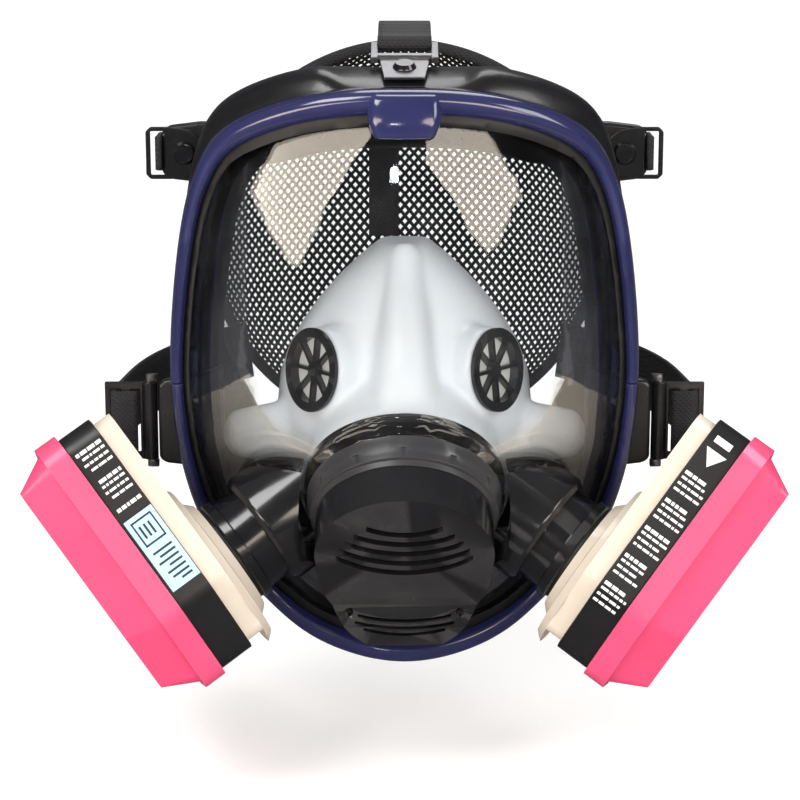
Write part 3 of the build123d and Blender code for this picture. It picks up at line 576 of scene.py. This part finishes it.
# ------------------------------------------------------------------ lens frame
# Cross-section of the frame band: inset from the outline, height proud of the lens
FRAME_SECTION = [
    (0.25, -7.0), (0.0, -6.2), (0.0, -2.5), (0.0, 1.8), (0.2, 3.6), (0.9, 5.1), (2.0, 5.9),
    (3.4, 6.1), (4.9, 5.8), (6.2, 5.0), (7.3, 3.8), (8.1, 2.7), (8.5, 2.0), (8.3, 1.75),
    (6.0, 1.75), (3.95, 1.75), (3.95, -2.5), (3.95, -6.6), (3.6, -7.0)]
FRAME_SPLIT_Z = -7.1        # stations above this belong to the upper half
UPPER_HALF_END_Z = -6.95
LOWER_HALF_END_Z = -7.45


def frame_half(name, stations, ids, end_z):
    """Band along the stations in ids, cut flat at height end_z at both ends."""
    points, normals = stations

    def cut_station(i, j):
        part = (end_z - points[i][1]) / (points[j][1] - points[i][1])
        return (points[i] + (points[j] - points[i]) * part,
                unit(normals[i] + (normals[j] - normals[i]) * part))

    before, after = (ids[0] - 1) % len(points), (ids[-1] + 1) % len(points)
    path = [cut_station(before, ids[0])]
    path += [(points[i], normals[i]) for i in ids]
    path += [cut_station(ids[-1], after)]
    rings = np.array([[lens_point(point, normal, inset, proud)
                       for inset, proud in FRAME_SECTION] for point, normal in path])
    rings[0, :, 2] = end_z
    rings[-1, :, 2] = end_z
    half = add_mesh(name, rod(rings), "frame", "facepiece")
    add_bevel(half, width=0.5, segments=2, angle=50)
    add_weighted_normals(half)
    return half


def build_frame_halves():
    stations = outline_stations(240)
    is_upper = stations[0][:, 1] > FRAME_SPLIT_Z
    start = np.flatnonzero(is_upper & ~np.roll(is_upper, 1))[0]
    order = np.roll(np.arange(len(is_upper)), -start)
    upper = frame_half("lens_frame_upper_shell", stations,
                       [i for i in order if is_upper[i]], UPPER_HALF_END_Z)
    lower = frame_half("lens_frame_lower_shell", stations,
                       [i for i in order if not is_upper[i]], LOWER_HALF_END_Z)
    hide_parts("lens_frame_upper")
    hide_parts("lens_frame_lower")


# Shield-shaped tab at the top centre: z, half width, height proud of the lens
TAB_ROWS = (
    (97.6, 12.4, 3.0), (97.2, 12.5, 6.6), (95.5, 12.8, 7.7), (92, 12.9, 8.1),
    (88.4, 12.8, 8.1), (86.6, 12.3, 7.9), (83.6, 10.9, 7.3), (82.7, 10.4, 6.2),
    (82.2, 10.2, 2.2))


def build_top_tab():
    """Tab that laps from the band on to the lens, its side edges turned down."""
    edge_droop = 0.16
    lip_drop = 2.2
    rows = []
    for z, half_width, proud in TAB_ROWS:
        row = []
        for side in np.linspace(-1, 1, 15):
            x = half_width * side
            lip = lip_drop if abs(side) > 0.98 else 0.0
            height = proud * (1 - edge_droop * abs(side) ** 6) - lip
            row.append((x, lens_y(x, z, height), z))
        rows.append(row)
    tab = add_mesh("frame_top_tab", tube(rows, closed_ring=False, joined=False),
                   "frame", "facepiece")
    add_solidify(tab, thickness=1.6)
    add_subdivision(tab, 1)


FRAME_EAR_X = (74.8, 82.6)
FRAME_EAR_Y = (-50.0, -40.6)
FRAME_EAR_Z = {"upper": (-6.9, 1.6), "lower": (-16.0, -7.5)}


def build_frame_ears():
    """Paired blocks at each side, above and below the joint between the halves."""
    faces = [(0, 1, 3, 2), (4, 6, 7, 5), (0, 4, 5, 1), (2, 3, 7, 6), (0, 2, 6, 4), (1, 5, 7, 3)]
    for side, sign in reversed(SIDES):
        for level, heights in FRAME_EAR_Z.items():
            verts = [(sign * x, y, z) for z in heights for y in FRAME_EAR_Y for x in FRAME_EAR_X]
            ear = add_mesh(f"frame_ear_{level}_{side}", (verts, faces),
                           "frame", "facepiece")
            add_bevel(ear, width=1.2, segments=4)
            add_weighted_normals(ear)


build_frame_halves()
build_top_tab()
build_frame_ears()


# ------------------------------------------------------------------ face seal
FACE_RADIUS = 106       # arc, seen from above, that the seal's rear edge follows
FACE_CENTRE_Y = 78


def seal_ring(point, normal):
    """Closed section of the seal: from the lens edge, back, and in under the face."""
    top = smooth_step(max(0.0, -normal[1]))
    bottom = smooth_step(max(0.0, normal[1]))
    chin = 19.0 * smooth_step((6.0 - point[1]) / 46.0)
    bulge = 0.6 + (7.6 * top if top > 0.02 else 0.0)
    # Bulge as a negative inset, undoing the narrowing at the sides
    out = -bulge / inset_scale(normal)

    def at_y(inset, y):
        x, z = inset_point(point, normal, inset)
        return x, y, z

    def on_lens(inset, proud):
        return lens_point(point, normal, inset, proud)

    front = on_lens(2.0, -7.6)[1] + 0.8
    face_x = min(abs(inset_point(point, normal, 6)[0]), 100)
    rear = FACE_CENTRE_Y - math.sqrt(FACE_RADIUS ** 2 - face_x ** 2) + 1.0 + 3.0 * bottom
    rear = max(rear, front + 14)
    depth = rear - front
    ring = [
        # outer wall, from the lens back to the face
        on_lens(4.6, -2.8),
        at_y(4.6, front - 0.6),
        at_y(out * 0.55, front + 0.4),
        at_y(out, front + 3.5 + 5 * top),
        at_y(out * 0.9, front + depth * 0.45),
        at_y(1.6 + 2 * (1 - top) + out * 0.35, front + depth * 0.78),
        at_y(4.2, rear - 1.6),
        # flap turned inward against the face, and its underside
        at_y(7.0, rear),
        at_y(11.5, rear - 1.2),
        at_y(17, rear - 5.5),
        at_y(23 + chin * 0.5, rear - 11.5),
        at_y(25.5 + chin, rear - 14.8),
        at_y(24.6 + chin, rear - 16.0),
        at_y(17.5 + chin * 0.4, rear - 9.8),
        at_y(11, rear - 6.6),
        at_y(8.0, rear - 9),
        # inner wall, forward to the lens
        at_y(7.4, front + depth * 0.45),
        at_y(8.2, front + 2),
        on_lens(9.0, -8.2),
        on_lens(10.6, -7.6),
        on_lens(11.0, -6.4),
        on_lens(9.8, -5.2),
    ]
    if point[1] > 60:
        ring = [(x, y, min(z, seal_ceiling(x, y))) for x, y, z in ring]
    return ring


def seal_ceiling(x, y):
    """Sloping height limit that keeps the seal under the top clip."""
    slope = max(102.0 + 0.326 * (y - TOP_STUD_CENTRE[1]), 95.8)
    return slope + max(0.0, abs(x) - 20) * 0.5


# Seal ears on the right side: x, z
SEAL_EARS = {
    "upper": [(62, 82), (74, 82), (85.6, 80.6), (88.2, 78), (88.2, 64), (85.6, 61.4),
              (74, 60), (64, 58)],
    "lower": [(67, -8), (79, -12.0), (89, -13.2), (91.3, -15), (91.3, -43), (89, -44.8),
              (79, -46.0), (67, -49)],
}
SEAL_EAR_Y = (-31.0, -25.2)


def build_seal():
    rings = [seal_ring(point, normal) for point, normal in zip(*outline_stations(160))]
    seal = add_mesh("face_seal_skin", tube(rings), "seal", "facepiece",
                    subdivision=1)
    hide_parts("face_seal")
    for side, sign in SIDES:
        for level, corners in SEAL_EARS.items():
            front, back = [[(sign * x, y, z) for x, z in corners] for y in SEAL_EAR_Y]
            ear = add_mesh(f"seal_ear_{level}_{side}", prism(front, back),
                           "seal", "facepiece")
            add_bevel(ear, width=1.6, segments=4, angle=30)
            add_weighted_normals(ear)


build_seal()


# ------------------------------------------------------------------ nose cup
# Body of the cup, an ellipse at each height: z, half depth, half width
CUP_LEVELS = [
    (-68, 22, 25), (-62, 31, 33), (-50, 42, 43.5), (-38, 49, 47.5), (-24, 53, 47.5),
    (-10, 54, 46.0), (0, 52, 42.5), (9, 48, 37.5), (18, 43, 31.0), (27, 37, 23.0),
    (34, 31, 15.5), (40, 26, 8)]
CUP_CENTRE_Y = -25.0
CUP_BACK_Y = -27.0          # the cup is open behind this plane
CUP_WALL = 1.9
HOUSING_HOLE_RADIUS = 29.3
VALVE_HOLE_RADIUS = 13.2
# Bosses on the cup: radius, distance along the axis
HOUSING_BOSS = [(30, -34), (33.5, -22), (34.2, -10.2)]
VALVE_BOSS = [(16.0, -12), (15.6, -1.5), (15.2, 0.9)]


def ellipse_stack(levels):
    return rod([[(half_width * math.sin(turn), CUP_CENTRE_Y - half_depth * math.cos(turn), z)
                 for turn in turn_angles(56)]
                for z, half_depth, half_width in levels])


def ellipsoid(centre, radii, around=28, down=18):
    centre = np.array(centre)
    verts = []
    for j in range(1, down):
        tilt = math.pi * j / down
        for turn in turn_angles(around):
            verts.append(centre + np.array([radii[0] * math.sin(tilt) * math.cos(turn),
                                            radii[1] * math.sin(tilt) * math.sin(turn),
                                            radii[2] * math.cos(tilt)]))
    top_pole, bottom_pole = len(verts), len(verts) + 1
    verts += [centre + np.array([0, 0, radii[2]]), centre - np.array([0, 0, radii[2]])]
    last = (down - 2) * around
    faces = []
    for j in range(down - 2):
        upper, lower = j * around, (j + 1) * around
        for i in range(around):
            k = (i + 1) % around
            faces.append((upper + i, upper + k, lower + k, lower + i))
    for i in range(around):
        k = (i + 1) % around
        faces.append((top_pole, k, i))
        faces.append((bottom_pole, last + i, last + k))
    return verts, faces


def turned(centre, axis, start, profile):
    """Solid of revolution from (radius, distance along the axis) pairs."""
    axis = unit(axis)
    start = np.array(start, float)
    across = unit(start - axis * (start @ axis))
    other = np.cross(axis, across)
    return rod([[centre + axis * along + across * radius * math.cos(turn)
                 + other * radius * math.sin(turn) for turn in turn_angles(48)]
                for radius, along in profile])


def cup_solids():
    solids = [ellipse_stack(CUP_LEVELS)]
    # Nose ridge, from the bridge down and forward
    for part in np.linspace(0, 1, 24):
        solids.append(ellipsoid(
            (0, -50 - 31 * math.sin(part * math.pi * 0.52), 34.0 - 50 * part),
            (6.5 + 6.5 * part, 8.0 + 1.5 * part, 7.5 + 3 * part)))
    # Cheek wings
    for sign in (1, -1):
        for part in np.linspace(0, 1, 14):
            solids.append(ellipsoid(
                (sign * (38 + 22 * part), -43 + 5 * part, -30 - 1.5 * part),
                (7, 9 - 2.5 * part, 13 - 3.5 * part)))
    solids.append(turned(HOUSING_CENTRE, HOUSING_AXIS, (1, 0, 0), HOUSING_BOSS))
    for centre, axis in NOSE_VALVES:
        solids.append(turned(centre, axis, (0, 0, 1), VALVE_BOSS))
    return solids


def axis_position(point, centre, axis):
    """Distance along the axis and distance from it."""
    offset = point - centre
    along = offset @ axis
    return along, np.linalg.norm(offset - axis * along)


def in_cup_opening(point):
    along, radius = axis_position(point, HOUSING_CENTRE, HOUSING_AXIS)
    if radius < HOUSING_HOLE_RADIUS and along > -40:
        return True
    for centre, axis in NOSE_VALVES:
        along, radius = axis_position(point, centre, axis)
        if abs(along) < 9 and radius < VALVE_HOLE_RADIUS:
            return True
    return False


def build_nose_cup():
    """Merge the solids, open the back, the housing hole and valve holes, add a wall."""
    cup = bare_object("nose_cup_skin", *merged(cup_solids()))
    remesh = cup.modifiers.new("remesh", "REMESH")
    remesh.mode = "VOXEL"
    remesh.voxel_size = 1.35 * MM
    smooth = cup.modifiers.new("smooth", "SMOOTH")
    smooth.factor = 0.5
    smooth.iterations = 16
    apply_modifiers(cup)

    bm = bmesh.new()
    bm.from_mesh(cup.data)
    bmesh.ops.bisect_plane(bm, geom=bm.verts[:] + bm.edges[:] + bm.faces[:],
                           plane_co=Vector((0, CUP_BACK_Y * MM, 0)),
                           plane_no=Vector((0, 1, 0)), clear_outer=True)
    opened = [face for face in bm.faces
              if in_cup_opening(np.array(face.calc_center_median()) / MM)]
    bmesh.ops.delete(bm, geom=opened, context="FACES")
    bm.to_mesh(cup.data)
    bm.free()

    cup.data.materials.append(MATERIALS["cup"])
    add_solidify(cup, CUP_WALL)
    apply_modifiers(cup)
    shade(cup.data)
    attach(cup, "facepiece")
    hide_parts("nose_cup")


build_nose_cup()

# ------------------------------------------------------------------ head net
# Crossing threads on a spherical bowl that opens forward; its pole is at the back
NET_CENTRE = np.array([0, 15.24, 28.0])
NET_RADIUS = 83.5
NET_EDGE_Y = 47.0
NET_REACH = NET_RADIUS * math.acos((NET_EDGE_Y - NET_CENTRE[1]) / NET_RADIUS)
THREAD_PITCH = 2.95
THREAD_RADIUS = 0.74
THREAD_WEAVE = 0.28             # how far a thread rises and dips
THREAD_LEAN = (0.64, 0.77)      # thread direction: diamonds taller than wide


def bowl(u, v):
    """Point on the net bowl from flat net coordinates, mm from its pole."""
    reach = math.hypot(u, v)
    angle = reach / NET_RADIUS
    across, up = (u / reach, v / reach) if reach >= 1e-9 else (0, 0)
    return NET_CENTRE + NET_RADIUS * np.array(
        [math.sin(angle) * across, math.cos(angle), math.sin(angle) * up])


def thread(points, sides=4):
    points = np.array(points)
    tangents = unit_rows(np.gradient(points, axis=0))
    outward = unit_rows(points - NET_CENTRE)
    across = unit_rows(np.cross(tangents, outward))
    return rod([[point + out * THREAD_RADIUS * math.cos(turn)
                 + side * THREAD_RADIUS * math.sin(turn) for turn in turn_angles(sides)]
                for point, out, side in zip(points, outward, across)])


def build_net():
    lean_u, lean_v = THREAD_LEAN
    threads = []
    for family in (1, -1):
        offset = -NET_REACH * 1.42
        while offset < NET_REACH * 1.42:
            points = []
            for along in np.arange(-NET_REACH * 1.45, NET_REACH * 1.45, 2.4):
                u = lean_u * along * family + offset * lean_v
                v = lean_v * along - family * offset * lean_u
                if math.hypot(u, v) < NET_REACH:
                    rise = THREAD_WEAVE * math.sin(
                        along / THREAD_PITCH * math.pi * 1.01 + offset)
                    point = bowl(u, v)
                    points.append(point + unit(point - NET_CENTRE) * (rise * family))
            if len(points) > 3:
                threads.append(thread(points))
            offset += THREAD_PITCH
    net = add_mesh("head_net_threads", merged(threads), "net", "harness")
    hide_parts("head_net")


build_net()

# ------------------------------------------------------------------ straps
# Half section of a strap: across and through, as parts of half width and half thickness
STRAP_SECTION = [
    (-1, -0.35), (-0.97, -1), (-0.6, -1), (0, -1), (0.6, -1), (0.97, -1), (1, -0.35),
    (1, 0.35), (0.97, 1), (0.6, 1), (0, 1), (-0.6, 1), (-0.97, 1), (-1, 0.35)]
# Right straps, from the facepiece back to the net: x, y, z
UPPER_STRAP_PATH = [
    (87.6, -34.4, 71), (88.8, -34.2, 71), (89.3, -31.6, 71), (89.6, -18, 71), (89.2, 5, 67),
    (85, 26, 61), (78.2, 44.5, 55)]
LOWER_STRAP_PATH = [
    (99.0, -30.6, -29), (103.2, -30.9, -29), (107.4, -30.4, -29), (108.4, -27.5, -29),
    (107.6, -14, -29), (100.5, 9, -25), (82.5, 30, -20), (62.5, 44.5, -16.5)]


def ribbon(name, path, width_axis, width, thick, body=None):
    """Strap swept along a smooth curve through the path."""
    path = np.array(path, float)
    width_axis = np.array(width_axis, float)
    run = np.r_[0, np.cumsum(np.linalg.norm(np.diff(path, axis=0), axis=1))]
    stops = np.linspace(0, run[-1], 60)
    centres = np.column_stack([spline(run, path[:, i])(stops) for i in range(3)])
    rings = []
    for centre, tangent in zip(centres, unit_rows(np.gradient(centres, axis=0))):
        across = unit(width_axis - tangent * (width_axis @ tangent))
        through = np.cross(tangent, across)
        rings.append([centre + across * a * width / 2 + through * b * thick / 2
                      for a, b in STRAP_SECTION])
    return add_mesh(name, rod(rings), "web", body)


def build_top_strap():
    """From the bar of the top clip, over the head to the net."""
    bar = (TOP_STUD_CENTRE + TOP_STUD_AXIS * 1.35
           + np.cross(TOP_STUD_AXIS, np.array([1.0, 0, 0])) * 19.4)
    # Offsets in y and z that wrap the start over the bar
    wrap = ((-2.2, -1.0), (-2.6, 1.2), (-0.4, 2.7), (5, 2.6))
    path = [(0, bar[1] + y, bar[2] + z) for y, z in wrap]
    path += [(0, -22, 115.6), (0, 8, 114.6), (0, 28, 110.5), (0, 44.5, 105.0)]
    strap = ribbon("strap_top_web", path, width_axis=(1, 0, 0), width=19, thick=1.6)
    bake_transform(strap)
    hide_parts("strap_top")


def build_side_strap(level, side, sign, path, width, thick):
    """Strap on one side, mirrored in x by sign, swept along the path."""
    strap = ribbon(f"strap_{level}_{side}_web", [(sign * x, y, z) for x, y, z in path],
                   width_axis=(0, 0, 1), width=width, thick=thick)
    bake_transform(strap)
    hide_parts(f"strap_{level}_{side}")


def build_net_tail():
    """Strap lying just inside the bowl, left of its middle."""
    path = []
    for v in np.linspace(70, -6, 22):
        point = bowl(-9.0, v)
        path.append(point - unit(point - NET_CENTRE) * (2.2 + 0.4 * math.sin(v * 0.16)))
    ribbon("net_strap_tail", path, width_axis=(1, 0, 0), width=12.5, thick=1.5, body="harness")


def build_net_binding():
    """Soft folded band round the rim of the bowl."""
    rim_y, rim_radius = 45.4, 77.2
    half_width, half_thick = 2.3, 1.35
    ripple = 0.0375
    rings = []
    for turn in [2 * math.pi * i / 120 for i in range(120)]:
        outward = np.array([math.sin(turn), 0, math.cos(turn)])
        centre = np.array([0, rim_y, NET_CENTRE[2]]) + outward * rim_radius
        shift = ripple * math.sin(turn * 23)
        rings.append([centre + outward * (half_width * math.cos(around))
                      + np.array([0, half_thick * math.sin(around) + shift, 0])
                      for around in turn_angles(12)])
    band = add_mesh("net_binding_band", tube(rings), "web", "harness",
                    subdivision=1)
    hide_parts("net_binding")


build_top_strap()
for side, sign in SIDES:
    build_side_strap("upper", side, sign, UPPER_STRAP_PATH, width=12.2, thick=1.4)
    build_side_strap("lower", side, sign, LOWER_STRAP_PATH, width=23, thick=1.7)
build_net_tail()
build_net_binding()

# ------------------------------------------------------------------ cartridge label print
# Polygons on the label's front face: mm down the label, mm along the port axis
LABEL_FACE = 39.0           # port centre to the label's front face
PRINT_SINK = 0.02           # gap between the face and the underside of the print
TEXT_PITCH = 2.3
TEXT_SPAN = {"left": (-58.0, -33.0), "right": (-45.0, 10.0)}
TEXT_START, TEXT_LAST_START, TEXT_END = 15.8, 26.0, 26.2
WORD_GAP = 0.45


def rect(u0, t0, u1, t1):
    return [(u0, t0), (u1, t0), (u1, t1), (u0, t1)]


PANEL = [rect(-30.0, 14.9, -1.5, 26.2)]
# An open frame, three bars inside it, then a column of lines
ICON = [
    rect(-28.4, 16.4, -27.7, 24.6), rect(-19.4, 16.4, -18.7, 24.6),
    rect(-28.4, 16.4, -18.7, 17.0), rect(-28.4, 24.0, -18.7, 24.6),
    rect(-26.0, 18.6, -21.2, 19.4), rect(-26.0, 20.4, -21.2, 21.2),
    rect(-26.0, 22.2, -21.2, 23.0)]
# Position and length of each line beside the icon
ICON_LINES = ((-16.0, 7.6), (-14.0, 6.2), (-12.0, 7.9), (-10.0, 5.1), (-8.0, 7.2),
              (-6.0, 6.6), (-4.2, 4.2))
ICON += [rect(u, 16.6, u + 0.8, 16.6 + length) for u, length in ICON_LINES]
# A triangle and a bar
MARK = [[(-55.5, 16.6), (-49.5, 20.6), (-55.5, 24.6)], rect(-60.5, 17.4, -58.0, 23.8)]


def label_patch(name, polygons, side, material, lift):
    """Thin raised print; lift is its height above the label."""
    def place(u, t, height):
        point = (PORT_CENTRE + PORT_DOWN * u + PORT_AXIS * t
                 + PORT_FRONT * (LABEL_FACE + height))
        return point * MIRROR_X if side == "right" else point

    solids = [prism([place(u, t, PRINT_SINK) for u, t in polygon],
                    [place(u, t, lift) for u, t in polygon]) for polygon in polygons]
    add_mesh(name, merged(solids), material, f"cartridge_{side}", smooth=False)


def text_bars(span, rng):
    """Lines of text as short bars; every fifth is blank and the one after it is taller."""
    bars = []
    for line, u in enumerate(np.arange(*span, TEXT_PITCH)):
        height = 0.9 if line % 5 else 1.3
        t = TEXT_START
        while t < TEXT_LAST_START:
            length = float(rng.uniform(0.8, 3.0))
            if t + length > TEXT_END:
                break
            if line % 5 != 4:
                bars.append(rect(u, t, u + height, t + length))
            t += length + WORD_GAP
    return bars


rng = np.random.default_rng(7)
for side, _ in SIDES:
    label_patch(f"label_print_{side}", text_bars(TEXT_SPAN[side], rng), side, "print", lift=0.16)
    if side == "left":
        label_patch("label_panel_left", PANEL, side, "panel", lift=0.12)
        label_patch("label_icon_left", ICON, side, "ink", lift=0.2)
    else:
        label_patch("label_mark_right", MARK, side, "print", lift=0.18)


# ------------------------------------------------------------------ floor, in metres
def stage_mesh(name, verts, faces, material):
    data = bpy.data.meshes.new(name)
    data.from_pydata([tuple(vert) for vert in verts], [], faces)
    obj = link_object(name, data)
    data.materials.append(material)
    return obj


def pale_floor():
    """Pale to the eye, dark in mirror reflections, with a slight glow for the camera."""
    glow = 0.30
    material, tree = new_material("pale_floor")
    patches = node(tree, "TexNoise", {"Scale": 3.0}).outputs["Fac"]
    pale = ramp(tree, patches, low=(0.80, 0.80, 0.80), high=(0.84, 0.84, 0.84))
    rays = node(tree, "LightPath").outputs
    color = mix_color(tree, rays["Is Glossy Ray"], pale, (0.10, 0.10, 0.11, 1))
    surface = node(tree, "BsdfPrincipled", {"Base Color": color, "Roughness": 0.9,
                                            "Specular IOR Level": 0.1})
    emission = node(tree, "Emission", {"Strength": glow})
    camera_glow = arithmetic(tree, "MULTIPLY", rays["Is Camera Ray"], glow)
    tree.links.new(camera_glow, emission.inputs["Strength"])
    output(tree, node(tree, "AddShader", {0: surface.outputs[0], 1: emission.outputs[0]}))
    return material


def build_floor():
    """Flat floor that curves up into a back wall."""
    floor_z = -0.150
    bend_y, bend_radius = 1.2, 1.0
    profile = [(-3.0, floor_z), (bend_y, floor_z)]
    profile += [(bend_y + bend_radius * math.sin(turn),
                 floor_z + bend_radius - bend_radius * math.cos(turn))
                for turn in np.linspace(0.1, math.pi / 2, 12)]
    profile += [(bend_y + bend_radius, floor_z + 3.5)]
    verts = [(x, y, z) for y, z in profile for x in (-4, 4)]
    faces = [(2 * i, 2 * i + 1, 2 * i + 3, 2 * i + 2) for i in range(len(profile) - 1)]
    shade(stage_mesh("floor", verts, faces, pale_floor()).data)


# ------------------------------------------------------------------ world
def build_world():
    """White to the camera, grey as fill light, a dim graded room to mirrored rays."""
    world = bpy.data.worlds.new("w")
    scene.world = world
    world.use_nodes = True
    tree = world.node_tree
    rays = node(tree, "LightPath").outputs
    direction = node(tree, "TexCoord").outputs["Generated"]
    up = node(tree, "SeparateXYZ", {0: direction}).outputs["Z"]
    height = map_range(tree, up, low=0.0, high=1.0, from_low=-1, from_high=1)
    room = node(tree, "ValToRGB", {"Fac": height})
    elements = room.color_ramp.elements
    elements[0].color = (0.10, 0.10, 0.11, 1)
    elements[1].color = (0.22, 0.22, 0.23, 1)
    for place, color in ((0.46, (0.07, 0.07, 0.075, 1)), (0.58, (0.06, 0.06, 0.065, 1))):
        elements.new(place).color = color
    seen = mix_color(tree, rays["Is Camera Ray"], (0.46, 0.46, 0.47, 1), (1.0, 1.0, 1.0, 1))
    color = mix_color(tree, rays["Is Glossy Ray"], seen, room.outputs["Color"])
    background = tree.nodes["Background"]
    tree.links.new(color, background.inputs["Color"])
    background.inputs["Strength"].default_value = 1.0
    scene.view_settings.view_transform = "Standard"
    scene.view_settings.look = "None"


# ------------------------------------------------------------------ camera
CAMERA_DIP = 12             # degrees below level
CAMERA_DISTANCE = 761.0
CAMERA_TARGET = np.array([0, -90.0, 0])
VIEW_RIGHT = np.array([1.0, 0, 0])
VIEW_FORWARD = np.array([0, math.cos(math.radians(CAMERA_DIP)),
                         -math.sin(math.radians(CAMERA_DIP))])
VIEW_UP = np.cross(VIEW_RIGHT, VIEW_FORWARD)
CAMERA_PLACE = CAMERA_TARGET - CAMERA_DISTANCE * VIEW_FORWARD


def build_camera():
    data = bpy.data.cameras.new("cam")
    camera = link_object("cam", data)
    data.lens = 100
    data.sensor_width = 36
    data.shift_x = -0.005625
    data.shift_y = -0.026875
    camera.location = CAMERA_PLACE * MM
    camera.rotation_euler = (math.radians(90 - CAMERA_DIP), 0, 0)
    scene.camera = camera


# ------------------------------------------------------------------ lights, in metres
def area_light(name, place, size, power, target=(0, 0, 0)):
    data = bpy.data.lights.new(name, "AREA")
    data.energy = power
    data.size = size
    light = link_object(name, data)
    light.location = place
    aim = Vector(target) - Vector(place)
    light.rotation_euler = aim.to_track_quat("-Z", "Y").to_euler()
    return light


def build_lights():
    area_light("key", place=(-0.9, -1.1, 1.5), size=0.8, power=19)
    area_light("fill", place=(1.3, -0.8, 0.7), size=0.7, power=9)
    area_light("rim", place=(0.2, 1.0, 1.6), size=1.0, power=10, target=(0, 0, 0.02))
    front = area_light("front", place=(0.0, -1.3, 0.45), size=0.6, power=4.5)
    front.visible_glossy = False


# ------------------------------------------------------------------ lens reflections
# Each emitter is shaped by the highlight it makes on the lens. Corners of the highlight are
# mm right and mm up in the plane that faces the camera through its target.
LEFT_HIGHLIGHT = [
    (-40.5803, 83.0441), (-13.5268, 85.0988), (-11.4721, 79.6196), (-16.9513, 74.1404),
    (-22.0880, 67.2914), (-26.8823, 59.4151), (-34.0738, 45.3746), (-37.1558, 38.1832),
    (-40.9228, 41.2652), (-48.7991, 54.2783), (-52.5661, 64.8943), (-46.4020, 75.5102)]
RIGHT_HIGHLIGHT = [
    (10.7872, 85.4413), (23.4578, 85.7837), (29.2795, 79.9621), (35.7860, 71.4008),
    (39.8954, 63.5245), (33.7313, 49.1416), (29.2795, 42.2926), (25.8550, 46.7444),
    (20.3758, 55.9906), (14.2117, 65.2367), (7.3627, 73.1131), (8.0476, 80.6470)]
SPOT_HIGHLIGHT = [
    (-4.9655, 71.4008), (-2.2259, 71.4008), (-1.8835, 67.6339), (-4.9655, 67.6339)]
EMITTER_DISTANCE = 1500.0


def lens_hit(sight):
    """Where a line of sight from the camera meets the lens, by stepping then halving."""
    def is_inside(distance):
        x, y, z = CAMERA_PLACE + sight * distance
        return y > lens_y(x, z)

    for far in np.arange(560, 860, 1.0):
        if is_inside(far):
            break
    near = far - 1.0
    for _ in range(20):
        middle = (near + far) / 2
        if is_inside(middle):
            far = middle
        else:
            near = middle
    return CAMERA_PLACE + sight * far


def lens_normal(x, z, step=0.5):
    slope_x = (lens_y(x + step, z) - lens_y(x - step, z)) / (2 * step)
    slope_z = (lens_y(x, z + step) - lens_y(x, z - step)) / (2 * step)
    return unit([slope_x, -1, slope_z])


def reflected_point(right, up):
    """Emitter corner, in metres, that the lens mirrors to a highlight corner."""
    sight = unit(CAMERA_DISTANCE * VIEW_FORWARD + VIEW_RIGHT * right + VIEW_UP * up)
    hit = lens_hit(sight)
    normal = lens_normal(hit[0], hit[2])
    mirrored = sight - 2 * (sight @ normal) * normal
    return (hit + mirrored * EMITTER_DISTANCE) * MM


def softbox(name, highlight, strength, color):
    """Emissive fan about its middle, seen only by light and reflected rays."""
    corners = [reflected_point(right, up) for right, up in highlight]
    count = len(corners)
    material, tree = new_material(name)
    output(tree, node(tree, "Emission", {"Color": (*color, 1), "Strength": strength}))
    faces = [(0, 1 + i, 1 + (i + 1) % count) for i in range(count)]
    emitter = stage_mesh(name, [np.mean(corners, axis=0)] + corners, faces, material)
    emitter.visible_camera = False
    emitter.visible_shadow = False


build_floor()
build_world()
build_camera()
build_lights()
softbox("softbox_left", LEFT_HIGHLIGHT, strength=8.0, color=(1.0, 0.88, 0.74))
softbox("softbox_right", RIGHT_HIGHLIGHT, strength=7.0, color=(1.0, 0.88, 0.74))
softbox("lamp_spot", SPOT_HIGHLIGHT, strength=30.0, color=(0.95, 0.97, 1.0))
